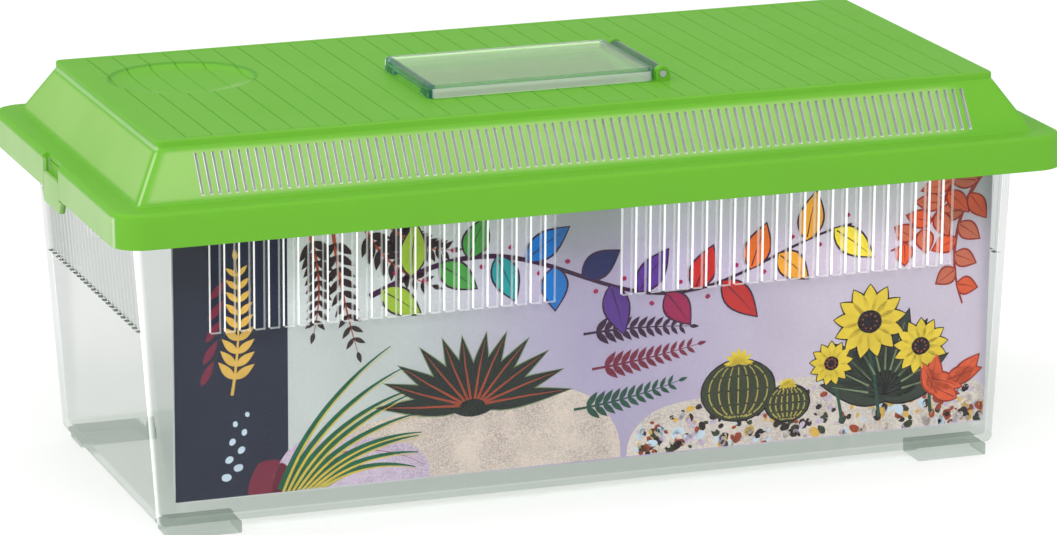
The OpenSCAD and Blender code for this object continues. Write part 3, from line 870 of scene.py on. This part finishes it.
def new_material(name, **plain):
    """A material with one shader, whose plain values are set on its own sockets."""
    material = bpy.data.materials.new(name)
    material.use_nodes = True
    tree = material.node_tree
    tree.nodes.clear()
    output = tree.nodes.new("ShaderNodeOutputMaterial")
    shader = tree.nodes.new("ShaderNodeBsdfPrincipled")
    tree.links.new(shader.outputs["BSDF"], output.inputs["Surface"])
    for socket, value in plain.items():
        shader.inputs[socket.replace("_", " ")].default_value = value
    return material, tree, shader


def feed(tree, socket, source):
    """Links a socket to a source, or sets it to a plain value."""
    if isinstance(source, bpy.types.NodeSocket):
        tree.links.new(source, socket)
    else:
        socket.default_value = source


def work_out(tree, operation, *sources):
    """One step of arithmetic with sockets or plain numbers."""
    node = tree.nodes.new("ShaderNodeMath")
    node.operation = operation
    for socket, source in zip(node.inputs, sources):
        feed(tree, socket, source)
    return node.outputs[0]


def product(tree, first, *others):
    """Masks multiplied together, or a mask weakened by a number."""
    for other in others:
        first = work_out(tree, "MULTIPLY", first, other)
    return first


def ease(tree, source, low, high, to_low=0.0, to_high=1.0):
    """Goes smoothly from one value to another as the source passes from low to high."""
    node = tree.nodes.new("ShaderNodeMapRange")
    node.interpolation_type = "SMOOTHSTEP"
    for socket, value in zip(node.inputs, (source, low, high, to_low, to_high)):
        feed(tree, socket, value)
    return node.outputs[0]


def fade(tree, source, low, high):
    """Goes smoothly from 1 to 0 as the source passes from low to high."""
    return ease(tree, source, low, high, 1.0, 0.0)


def blend_colour(tree, share, first, second, kind="MIX"):
    """Goes from the first colour to the second as the share goes from 0 to 1."""
    node = tree.nodes.new("ShaderNodeMix")
    node.data_type = "RGBA"
    node.blend_type = kind
    feed(tree, node.inputs["Factor"], share)
    feed(tree, node.inputs[6], first)
    feed(tree, node.inputs[7], second)
    return node.outputs[2]


def paint_over(tree, colour, *layers):
    """Lays colours over one another, each where its own mask lets it."""
    for share, layer in layers:
        colour = blend_colour(tree, share, colour, layer)
    return colour


def noise_at(tree, coords, scale, detail=2.0, roughness=0.5):
    """Soft noise between 0 and 1."""
    node = tree.nodes.new("ShaderNodeTexNoise")
    feed(tree, node.inputs["Vector"], coords)
    feed(tree, node.inputs["Scale"], scale)
    node.inputs["Detail"].default_value = detail
    node.inputs["Roughness"].default_value = roughness
    return node.outputs["Fac"]


def object_coords(tree):
    """The point on the piece, in metres in the part's own frame."""
    return tree.nodes.new("ShaderNodeTexCoord").outputs["Object"]


def split(tree, vector):
    """The x, y and z of a point."""
    node = tree.nodes.new("ShaderNodeSeparateXYZ")
    feed(tree, node.inputs[0], vector)
    return node.outputs[0], node.outputs[1], node.outputs[2]


def off_middle(tree, along, middle=0.0):
    """How far a point is from a middle, on either side."""
    away = work_out(tree, "SUBTRACT", along, middle) if middle else along
    return work_out(tree, "ABSOLUTE", away)


def turned_away(tree):
    """1 where the surface is seen from its back."""
    return tree.nodes.new("ShaderNodeNewGeometry").outputs["Backfacing"]


def new_group(name, inputs, outputs):
    """An empty node group with named sockets, and its own ends."""
    group = bpy.data.node_groups.new(name, "ShaderNodeTree")
    for label, kind, value in inputs:
        socket = group.interface.new_socket(label, in_out="INPUT", socket_type=kind)
        socket.default_value = value
    for label, kind in outputs:
        group.interface.new_socket(label, in_out="OUTPUT", socket_type=kind)
    given = group.nodes.new("NodeGroupInput").outputs
    return group, given, group.nodes.new("NodeGroupOutput").inputs


def moulded_finish():
    """Shared by every plastic: faint flow clouding, uneven gloss and a fine mould grain."""
    group, given, result = new_group(
        "moulded finish",
        (("Colour", "NodeSocketColor", (1, 1, 1, 1)),
         ("Flow Colour", "NodeSocketColor", (1, 1, 1, 1)),
         ("Flow Scale", "NodeSocketFloat", 18.0),
         ("Flow Strength", "NodeSocketFloat", 0.5),
         ("Roughness", "NodeSocketFloat", 0.3),
         ("Roughness Spread", "NodeSocketFloat", 0.1),
         ("Grain Scale", "NodeSocketFloat", 1500.0)),
        (("Colour", "NodeSocketColor"), ("Roughness", "NodeSocketFloat"),
         ("Height", "NodeSocketFloat")))
    coords = object_coords(group)
    flow = ease(group, noise_at(group, coords, given["Flow Scale"], 3.0), 0.35, 0.7)
    feed(group, result["Colour"],
         blend_colour(group, product(group, flow, given["Flow Strength"]), given["Colour"],
                      given["Flow Colour"]))
    grain = noise_at(group, coords, given["Grain Scale"], 1.0)
    uneven = work_out(group, "ADD", product(group, grain, 0.5), product(group, flow, 0.5))
    spread = product(group, work_out(group, "SUBTRACT", uneven, 0.5), given["Roughness Spread"])
    feed(group, result["Roughness"], work_out(group, "ADD", given["Roughness"], spread))
    feed(group, result["Height"], grain)
    return group


def finish_with(tree, shader, group, colour, bump, **values):
    """Places the moulded finish in a material and feeds its shader."""
    node = tree.nodes.new("ShaderNodeGroup")
    node.node_tree = group
    feed(tree, node.inputs["Colour"], colour)
    for name, value in values.items():
        feed(tree, node.inputs[name.replace("_", " ")], value)
    tree.links.new(node.outputs["Colour"], shader.inputs["Base Color"])
    tree.links.new(node.outputs["Roughness"], shader.inputs["Roughness"])
    relief = tree.nodes.new("ShaderNodeBump")
    relief.inputs["Strength"].default_value = bump
    relief.inputs["Distance"].default_value = 0.05 * MM
    tree.links.new(node.outputs["Height"], relief.inputs["Height"])
    tree.links.new(relief.outputs["Normal"], shader.inputs["Normal"])


def let_light_through(tree, surface, tint):
    """Shadow rays pass the plastic, so that what is inside is lit."""
    path = tree.nodes.new("ShaderNodeLightPath")
    passing = tree.nodes.new("ShaderNodeBsdfTransparent")
    passing.inputs["Color"].default_value = (*tint, 1)
    mix_shaders(tree, path.outputs["Is Shadow Ray"], surface, passing.outputs["BSDF"])


def mix_shaders(tree, share, first, second):
    """Mixes two shaders and puts the result on the surface."""
    mix = tree.nodes.new("ShaderNodeMixShader")
    feed(tree, mix.inputs["Fac"], share)
    tree.links.new(first, mix.inputs[1])
    tree.links.new(second, mix.inputs[2])
    tree.links.new(mix.outputs["Shader"], tree.nodes["Material Output"].inputs["Surface"])
    return mix.outputs["Shader"]


def lid_slope_light_masks(tree, x, y, z, rise):
    """Painted light on the sloping sides: a paler glow in their middles and a painted highlight
    along the hips between them, both fading to the hinge end.
    """
    from_hip = []
    for along, start, lean in ((x, lid_x - FLANGE_END, lean_end),
                               (y, lid_y - FLANGE_SIDE, lean_side)):
        edge = work_out(tree, "SUBTRACT", start, product(tree, rise, lean))
        from_hip.append(work_out(tree, "SUBTRACT", edge, off_middle(tree, along)))
    inside = ease(tree, work_out(tree, "MAXIMUM", *from_hip), 1.5 * MM, 4.5 * MM)
    above_flange = ease(tree, rise, 0.6 * MM, 2.0 * MM)
    below_top = fade(tree, z, slope_top_z - 2.0 * MM, slope_top_z - 0.6 * MM)
    hinge_end = fade(tree, x, 118 * MM, 130 * MM)
    near_hip = off_middle(tree, work_out(tree, "SUBTRACT", *from_hip))
    on_slope = ease(tree, rise, 0.3 * MM, 1.0 * MM)
    return (product(tree, inside, above_flange, below_top, hinge_end),
            product(tree, fade(tree, near_hip, 0.35 * MM, 0.9 * MM), on_slope, below_top,
                    hinge_end))


def end_skirt_light_masks(tree, x, y, rise):
    """A painted sheen on the skirt's flat ends, which stops sharply at the corner, and a painted
    highlight line there.
    """
    out_end = ease(tree, off_middle(tree, x), lid_x - 1.2 * MM, lid_x - 1.0 * MM)
    ends = product(tree, out_end, fade(tree, rise, -2.2 * MM, -1.2 * MM))
    round_corner = work_out(tree, "SUBTRACT", off_middle(tree, y), lid_y - LID_CORNER)
    flat = fade(tree, round_corner, 2.4 * MM, 2.8 * MM)
    line = product(tree, ease(tree, round_corner, 2.2 * MM, 2.6 * MM),
                   fade(tree, round_corner, 3.4 * MM, 4.2 * MM))
    return product(tree, ends, flat), product(tree, ends, line)


def top_end_highlight(tree, x, z):
    """A painted highlight line under the step at each end of the lid's top."""
    at_end = ease(tree, off_middle(tree, x), top_x - 0.9 * MM, top_x - 0.5 * MM)
    low = ease(tree, z, slope_top_z - 0.9 * MM, slope_top_z - 0.5 * MM)
    high = fade(tree, z, slope_top_z + 0.2 * MM, slope_top_z + 0.7 * MM)
    return product(tree, low, high, at_end)


def dish_light_masks(tree, y, z, from_dish):
    """A painted light crescent inside the dish's near side, and a thin line of painted shade round
    its rim.
    """
    near = fade(tree, y, DISH_Y - 15 * MM, DISH_Y - 5 * MM)
    crescent_light = product(tree, ease(tree, from_dish, DISH_R - 9 * MM, DISH_R - 6 * MM),
                       fade(tree, from_dish, DISH_R - 2.0 * MM, DISH_R - 1.2 * MM), near)
    off_rim = off_middle(tree, from_dish, DISH_R - 0.6 * MM)
    rim = product(tree, fade(tree, off_rim, 0.4 * MM, 0.9 * MM),
                  ease(tree, z, top_z - 2.2 * MM, top_z - 1.9 * MM))
    return crescent_light, rim


def dish_distance(tree, x, y):
    """How far a point is from the dish's axis."""
    squares = [work_out(tree, "POWER", work_out(tree, "SUBTRACT", along, middle), 2.0)
               for along, middle in ((x, DISH_X), (y, DISH_Y))]
    return work_out(tree, "POWER", work_out(tree, "ADD", *squares), 0.5)


def groove_shade_mask(tree, x, y, z, from_dish):
    """Painted shade in the bottoms of the top's fine grooves, outside the dish."""
    deep = fade(tree, z, top_z - 0.28 * MM, top_z - 0.1 * MM)
    inward = [fade(tree, off_middle(tree, along), half - 1.6 * MM, half - 1.2 * MM)
              for along, half in ((x, top_x), (y, top_y))]
    return product(tree, deep, *inward, ease(tree, from_dish, DISH_R, DISH_R + 0.4 * MM))


def lime_plastic(group):
    """Translucent lime plastic with painted light: paler glowing slope panels, a painted sheen on
    the skirt's ends, painted highlights on the hips, corners, step ends and inside the dish, and
    painted shade in the grooves and round the dish's rim; deeper along the edges.
    """
    material, tree, shader = new_material("lime plastic", IOR=1.5, Specular_IOR_Level=0.18)
    x, y, z = split(tree, object_coords(tree))
    rise = work_out(tree, "SUBTRACT", z, flange_z)
    # Painted light: a paler glow in the slope panels and a painted highlight along the hips.
    panel, hip_highlight = lid_slope_light_masks(tree, x, y, z, rise)
    # Painted light: a sheen on the skirt's ends and a highlight line at their corners.
    end_skirt_sheen, corner_highlight = end_skirt_light_masks(tree, x, y, rise)
    from_dish = dish_distance(tree, x, y)
    # Painted light in the dish's near crescent, and painted shade round its rim.
    crescent_light, rim = dish_light_masks(tree, y, z, from_dish)
    # Painted shade in the grooves and round the dish's rim.
    shaded = work_out(tree, "MAXIMUM", product(tree, rim, 0.6),
                      product(tree, groove_shade_mask(tree, x, y, z, from_dish), 0.7))
    # The pale and brighter greens are painted light; dark is painted shade.
    deep, pale, painted_light_green = (0.165, 0.485, 0.034, 1), (0.325, 0.58, 0.15, 1), (0.42, 0.63, 0.27, 1)
    bright, painted_highlight_green, dark = (0.5, 0.7, 0.4, 1), (0.55, 0.72, 0.42, 1), (0.07, 0.3, 0.03, 1)
    colour = paint_over(tree, deep, (panel, pale), (hip_highlight, painted_light_green), (end_skirt_sheen, painted_light_green),
                        (corner_highlight, painted_highlight_green),
                        # Painted highlight under the step at the top's ends.
                        (product(tree, top_end_highlight(tree, x, z), 0.55), bright),
                        (product(tree, crescent_light, 0.45), painted_light_green), (shaded, dark))
    finish_with(tree, shader, group, colour, 0.12, Flow_Colour=(0.16, 0.43, 0.04, 1),
                Flow_Scale=22.0, Flow_Strength=0.2, Roughness=0.42, Roughness_Spread=0.12,
                Grain_Scale=1400.0)
    glow = tree.nodes.new("ShaderNodeBsdfTranslucent")
    glow.inputs["Color"].default_value = (0.2, 0.5, 0.06, 1)
    body = mix_shaders(tree, 0.22, shader.outputs["BSDF"], glow.outputs["BSDF"])
    let_light_through(tree, body, (0.2, 0.36, 0.1))
    return material


def lid_slot_shade(group):
    """The lid slots' own walls, painted greyer than the panel as shade for the dim inside seen past
    them.
    """
    material, tree, shader = new_material("lid slot shade", Specular_IOR_Level=0.25)
    finish_with(tree, shader, group, (0.64, 0.66, 0.64, 1), 0.1, Flow_Colour=(0.76, 0.76, 0.78, 1),
                Flow_Scale=90.0, Flow_Strength=0.7, Roughness=0.45, Roughness_Spread=0.1,
                Grain_Scale=1200.0)
    let_light_through(tree, shader.outputs["BSDF"], (0.2, 0.3, 0.15))
    return material


def corner_painted_highlight(tree, past_end, past_side):
    """A painted highlight: a line up each corner's round that glows white, sharp on one side and
    soft on the other.
    """
    turn = work_out(tree, "ARCTAN2", past_side, past_end)
    line = product(tree, ease(tree, turn, math.radians(9), math.radians(13)),
                   fade(tree, turn, math.radians(15), math.radians(42)))
    return product(tree, line, work_out(tree, "SUBTRACT", 1.0, turned_away(tree)))


def tub_plastic(group):
    """Slightly hazy clear plastic, greyer beside the upright corners as painted shade, with a
    painted highlight glowing white up each corner. Its index is near 1, so that the drafted walls
    show no dark bands, and a coat gives the gloss."""
    material, tree, shader = new_material(
        "clear tub plastic", IOR=1.02, Transmission_Weight=1.0, Coat_Weight=0.3,
        Coat_IOR=1.46, Coat_Roughness=0.06, Emission_Strength=0.6)
    x, y, z = split(tree, object_coords(tree))
    past_end, past_side = (work_out(tree, "SUBTRACT", off_middle(tree, along), core)
                           for along, core in ((x, BASE_X - BASE_CORNER),
                                               (y, BASE_Y - BASE_CORNER)))
    # Painted shade: greyer beside the upright corners.
    corner_shade = product(tree, ease(tree, past_side, 0.5 * BASE_CORNER, 0.8 * BASE_CORNER),
                            ease(tree, past_end, -4 * MM, 0.0))
    on_floor = fade(tree, z, floor_z + 0.1 * MM, floor_z + 0.3 * MM)
    wall, grey, floor_green = (0.85, 0.86, 0.85, 1), (0.7, 0.72, 0.71, 1), (0.73, 0.78, 0.745, 1)
    tint = paint_over(tree, wall, (corner_shade, grey), (on_floor, floor_green))
    finish_with(tree, shader, group, tint, 0.03, Flow_Colour=(0.8, 0.82, 0.81, 1),
                Flow_Scale=30.0, Flow_Strength=0.3, Roughness=0.08, Roughness_Spread=0.04,
                Grain_Scale=900.0)
    # Painted highlight: a white glow up each corner.
    gleam = corner_painted_highlight(tree, past_end, past_side)
    feed(tree, shader.inputs["Emission Color"], blend_colour(tree, gleam, BLACK, WHITE))
    let_light_through(tree, shader.outputs["BSDF"], (0.86, 0.88, 0.87))
    return material


def foot_plastic(group):
    """The same clear plastic where it is thick, so that it looks darker and greener."""
    material, tree, shader = new_material("clear foot plastic", IOR=1.02, Coat_Weight=0.3,
                                          Transmission_Weight=1.0, Coat_IOR=1.46)
    finish_with(tree, shader, group, (0.48, 0.54, 0.49, 1), 0.03,
                Flow_Colour=(0.42, 0.48, 0.43, 1), Flow_Scale=60.0, Flow_Strength=0.4,
                Roughness=0.1, Roughness_Spread=0.05, Grain_Scale=900.0)
    let_light_through(tree, shader.outputs["BSDF"], (0.6, 0.64, 0.61))
    return material


def hatch_painted_highlight(tree, across, z):
    """A painted highlight: a line that glows white along the inner edge of the hatch's far wall."""
    off_edge = off_middle(tree, across, HATCH_SIZE_Y / 2 - HATCH_WALL - 0.3 * MM)
    ceiling = hatch_high.z - HATCH_WALL
    return product(tree, ease(tree, off_edge, 0.2 * MM, 0.5 * MM, 0.9, 0.0),
                   ease(tree, z, ceiling - 0.8 * MM, ceiling - 0.5 * MM),
                   fade(tree, z, hatch_high.z - 0.9 * MM, hatch_high.z - 0.6 * MM))


def hatch_painted_reflection(tree, across, z):
    """Painted reflection: grey laid over the long walls of the hatch, below its rounded top edge,
    and how much it covers.
    """
    reflection_grey = tree.nodes.new("ShaderNodeBsdfPrincipled")
    reflection_grey.inputs["Base Color"].default_value = (0.57, 0.56, 0.59, 1)
    reflection_grey.inputs["Roughness"].default_value = 0.3
    half_y, round_z = HATCH_SIZE_Y / 2, hatch_high.z - HATCH_ROUND
    cover = product(tree, ease(tree, off_middle(tree, across), half_y - 0.4 * MM,
                               half_y - 0.2 * MM, 0.0, 0.65),
                    fade(tree, z, round_z, round_z + 0.2 * MM))
    return cover, reflection_grey.outputs["BSDF"]


def hatch_plastic(group):
    """Polished clear plastic with a teal tint at its ends, a painted reflection on its long walls
    and a painted highlight on its inner edge. Paths that bounce about inside it more than four
    times end in a dim painted teal glow."""
    material, tree, shader = new_material("clear hatch plastic", IOR=1.42,
                                          Transmission_Weight=0.9, Emission_Strength=1.0)
    x, y, z = split(tree, object_coords(tree))
    across = work_out(tree, "SUBTRACT", y, hatch_mid_y)
    in_wall = HATCH_SIZE_X / 2 - HATCH_WALL
    ends = ease(tree, off_middle(tree, x, hatch_mid_x), in_wall - 0.2 * MM, in_wall)
    tint = blend_colour(tree, ends, (0.7, 0.96, 0.52, 1), (0.05, 0.25, 0.19, 1))
    finish_with(tree, shader, group, tint, 0.03, Flow_Colour=(0.6, 0.83, 0.44, 1),
                Flow_Scale=40.0, Flow_Strength=0.3, Roughness=0.05, Roughness_Spread=0.03,
                Grain_Scale=900.0)
    # Painted highlight along the far wall's inner edge.
    feed(tree, shader.inputs["Emission Color"],
         blend_colour(tree, hatch_painted_highlight(tree, across, z), BLACK, WHITE))
    # Painted reflection: grey over the long walls.
    cover, reflection_grey = hatch_painted_reflection(tree, across, z)
    body = mix_shaders(tree, cover, shader.outputs["BSDF"], reflection_grey)
    # Painted glow: a dim teal emission for paths caught inside.
    deep = tree.nodes.new("ShaderNodeEmission")
    deep.inputs["Color"].default_value = (0.02, 0.12, 0.11, 1)
    depth = tree.nodes.new("ShaderNodeLightPath").outputs["Ray Depth"]
    caught = work_out(tree, "GREATER_THAN", depth, 4.5)
    body = mix_shaders(tree, caught, body, deep.outputs["Emission"])
    let_light_through(tree, body, (0.7, 0.82, 0.74))
    return material


def slot_edge_highlight(group):
    """The slots' own walls, with painted highlights: white walls that glow faintly, and more
    brightly where they are seen through the plastic.
    """
    material, tree, shader = new_material("slot edge highlight", IOR=1.2, Transmission_Weight=0.65,
                                          Emission_Color=WHITE, Emission_Strength=0.06)
    finish_with(tree, shader, group, (0.96, 0.97, 0.96, 1), 0.1,
                Flow_Colour=(0.9, 0.92, 0.9, 1), Flow_Scale=60.0, Flow_Strength=0.5,
                Roughness=0.4, Roughness_Spread=0.1, Grain_Scale=1200.0)
    # Painted highlight: seen from behind, the walls glow white.
    within = tree.nodes.new("ShaderNodeBsdfPrincipled")
    for socket, value in (("Base Color", (0.95, 0.96, 0.95, 1)), ("Roughness", 0.6),
                          ("Emission Color", WHITE), ("Emission Strength", 0.4)):
        within.inputs[socket].default_value = value
    surface = mix_shaders(tree, turned_away(tree), shader.outputs["BSDF"], within.outputs["BSDF"])
    let_light_through(tree, surface, (0.8, 0.82, 0.8))
    return material


def end_slot_foot_shade(group):
    """The lower ends of the slots in the tub's ends, painted dark grey as the shade they show from
    above.
    """
    # Painted shade: dark grey on the slots' lower ends.
    material, tree, shader = new_material("slot foot shade", IOR=1.4)
    finish_with(tree, shader, group, (0.24, 0.25, 0.25, 1), 0.1,
                Flow_Colour=(0.36, 0.37, 0.36, 1), Flow_Scale=200.0, Flow_Strength=0.5,
                Roughness=0.35, Roughness_Spread=0.1, Grain_Scale=1200.0)
    let_light_through(tree, shader.outputs["BSDF"], (0.6, 0.62, 0.6))
    return material


def print_grain():
    """Shared by the board and every ink: soft clouding, fine screen grain and satin gloss."""
    group, given, result = new_group(
        "print grain",
        (("Colour", "NodeSocketColor", (1, 1, 1, 1)),
         ("Cloud Scale", "NodeSocketFloat", 110.0),
         ("Cloud Strength", "NodeSocketFloat", 0.3),
         ("Grain Strength", "NodeSocketFloat", 0.25)),
        (("Colour", "NodeSocketColor"), ("Roughness", "NodeSocketFloat")))
    coords = object_coords(group)
    cloud = ease(group, noise_at(group, coords, given["Cloud Scale"], 4.0, 0.6), 0.3, 0.7)
    grain = ease(group, noise_at(group, coords, 1900.0, 2.0), 0.3, 0.7)
    darker = blend_colour(group, 1.0, given["Colour"], (0.62, 0.6, 0.64, 1), "MULTIPLY")
    lighter = blend_colour(group, 1.0, given["Colour"], (1.3, 1.28, 1.26, 1), "MULTIPLY")
    feed(group, result["Colour"],
         paint_over(group, given["Colour"],
                    (product(group, cloud, given["Cloud Strength"]), darker),
                    (product(group, grain, given["Grain Strength"]), lighter)))
    feed(group, result["Roughness"], ease(group, grain, 0.0, 1.0, 0.42, 0.56))
    return group


def ink_rgb(colour):
    """A printed colour, given as red, green and blue out of 255, in the shader's own units."""
    return tuple(((c / 255 + 0.055) / 1.055) ** 2.4 if c > 10 else c / 3295 for c in colour) + (1,)


def printed(name, colour_from, **values):
    """A printed colour with the card's grain; colour_from works the colour out in its own tree."""
    material, tree, shader = new_material(name, Specular_IOR_Level=0.15)
    node = tree.nodes.new("ShaderNodeGroup")
    node.node_tree = grain_group
    feed(tree, node.inputs["Colour"], colour_from(tree))
    for socket, value in values.items():
        node.inputs[socket.replace("_", " ")].default_value = value
    tree.links.new(node.outputs["Colour"], shader.inputs["Base Color"])
    tree.links.new(node.outputs["Roughness"], shader.inputs["Roughness"])
    return material


def printed_ink(name, colour):
    """An ink of the print; the stones' inks are more clouded and grainy."""
    if name in GRAINY_INKS:
        return printed(name + " ink", lambda tree: ink_rgb(colour), Cloud_Scale=75.0,
                       Cloud_Strength=1.0, Grain_Strength=0.7)
    return printed(name + " ink", lambda tree: ink_rgb(colour), Cloud_Strength=0.45)


def printed_field():
    """The card's own pale field: grey-green at the left, lavender in the middle, lilac right."""
    def field(tree):
        x, _, z = split(tree, object_coords(tree))
        return paint_over(
            tree, ink_rgb((196, 202, 202)),
            (ease(tree, x, -70 * MM, 0.0), ink_rgb((178, 168, 198))),
            (ease(tree, x, 5 * MM, 95 * MM), ink_rgb((206, 194, 212))),
            (ease(tree, z, 72 * MM, 98 * MM, 0.0, 0.7), ink_rgb((186, 194, 192))))
    return printed("printed field", field, Cloud_Scale=26.0, Cloud_Strength=0.22)


def dress(piece, *materials):
    """Gives a piece its materials, in the order of its faces' numbers."""
    piece.data.materials.clear()
    for material in materials:
        piece.data.materials.append(material)


def dress_node(name, material, width):
    """Gives a carried-over solid its plastic and eased edges."""
    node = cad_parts[name]
    for slot in node.material_slots:
        slot.material = material
    add_modifier(node, "WELD", "joined corners", merge_threshold=0.01 * MM)
    add_modifier(node, "DECIMATE", "whole faces", decimate_type="DISSOLVE",
                 angle_limit=math.radians(1))
    add_modifier(node, "BEVEL", "eased edges", width=width, segments=2, limit_method="ANGLE",
                 angle_limit=math.radians(35))
    add_modifier(node, "WEIGHTED_NORMAL", "flat faces stay flat")


finish_group = moulded_finish()
grain_group = print_grain()
lime = lime_plastic(finish_group)
clear = tub_plastic(finish_group)
teal = hatch_plastic(finish_group)
slot_highlight = slot_edge_highlight(finish_group)
slot_foot_shade = end_slot_foot_shade(finish_group)

tub = make_tub()
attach(tub, "tub_body")
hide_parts("tub", "front_vent_left", "front_vent_right", "back_vent_left",
            "back_vent_right", "left_end_vent", "right_end_vent")

lid = make_lid()
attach(lid, "lid_body")
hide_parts("lid_shell", "lid_front_grille", "lid_back_grille")

hatch = make_hatch()
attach(hatch, "hatch_body")
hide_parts("hatch_door")

card = make_card()
dress(card, printed_field(), printed("plain board", lambda tree: ink_rgb((206, 204, 208))))
for face in card.data.polygons[1:]:
    face.material_index = 1
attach(card, "tub_body")
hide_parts("label_card")

card_art = make_print()
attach(card_art, "tub_body")

dress_node("feet", foot_plastic(finish_group), 0.6 * MM)
dress_node("hatch_hinge_pins", teal, 0.15 * MM)
for name in ("hinge_ears", "latch_left", "latch_right"):
    dress_node(name, lime, 0.3 * MM)


# ---------------------------------------------------------------- studio
FLOOR_HALF = 9
OBJECT_MIDDLE = (0, 0, 0.08)
ROOM_FRONT, ROOM_BEHIND = 0.88, 0.55
CAMERA_PLACE = (-0.55894, -1.70897, 0.50811)  # metres
CAMERA_TURN = (76.0344, 0.7682, -18.1547)  # degrees about x, y and z


def make_floor():
    """A wide pale floor, evenly bright."""
    half = FLOOR_HALF
    floor = new_piece("studio_floor", [(-half, -half, 0), (half, -half, 0), (half, half, 0),
                                       (-half, half, 0)], [[0, 1, 2, 3]])
    material, tree, shader = new_material("pale floor", Roughness=0.9, Specular_IOR_Level=0.1,
                                          Emission_Color=WHITE, Emission_Strength=0.6)
    mottle = noise_at(tree, object_coords(tree), 3.0)
    feed(tree, shader.inputs["Base Color"],
         blend_colour(tree, mottle, (0.41, 0.41, 0.41, 1), (0.4, 0.4, 0.4, 1)))
    dress(floor, material)


def soft_light(name, place, aim, size, power):
    """A rectangular softbox at a place, turned towards a point."""
    data = bpy.data.lights.new(name, "AREA")
    data.shape = "RECTANGLE"
    data.size, data.size_y = size
    data.energy = power
    light = bpy.data.objects.new(name, data)
    bpy.context.scene.collection.objects.link(light)
    light.location = place
    light.rotation_euler = (Vector(aim) - Vector(place)).to_track_quat("-Z", "Y").to_euler()


def make_studio():
    """A pale room that is dimmer behind the object, with two soft lights."""
    make_floor()
    world = bpy.data.worlds.new("studio")
    bpy.context.scene.world = world
    world.use_nodes = True
    tree = world.node_tree
    background = tree.nodes["Background"]
    background.inputs["Color"].default_value = WHITE
    across, away, upward = split(tree, tree.nodes.new("ShaderNodeTexCoord").outputs["Generated"])
    behind = product(tree, ease(tree, away, 0.3, 0.85), fade(tree, upward, 0.35, 0.7))
    room = ease(tree, behind, 0.0, 1.0, ROOM_FRONT, ROOM_BEHIND)
    seen = tree.nodes.new("ShaderNodeLightPath").outputs["Is Camera Ray"]
    feed(tree, background.inputs["Strength"], ease(tree, seen, 0.0, 1.0, room, 1.0))
    soft_light("front softbox", (-0.35, -1.5, 1.9), OBJECT_MIDDLE, (1.4, 0.9), 24)
    soft_light("left softbox", (-1.8, 0.2, 1.0), OBJECT_MIDDLE, (1.2, 1.2), 13)


def make_camera():
    """The photograph's own view, found from the lid's and the tub's edges."""
    data = bpy.data.cameras.new("photo camera")
    camera = bpy.data.objects.new("photo camera", data)
    bpy.context.scene.collection.objects.link(camera)
    turn = Euler([math.radians(angle) for angle in CAMERA_TURN])
    camera.matrix_world = Matrix.Translation(CAMERA_PLACE) @ turn.to_matrix().to_4x4()
    data.sensor_width = 36
    data.lens = 191.96
    data.shift_x = 0.0198
    data.clip_start, data.clip_end = 0.1, 50
    bpy.context.scene.camera = camera


make_studio()
make_camera()
bpy.context.scene.view_settings.view_transform = "Standard"
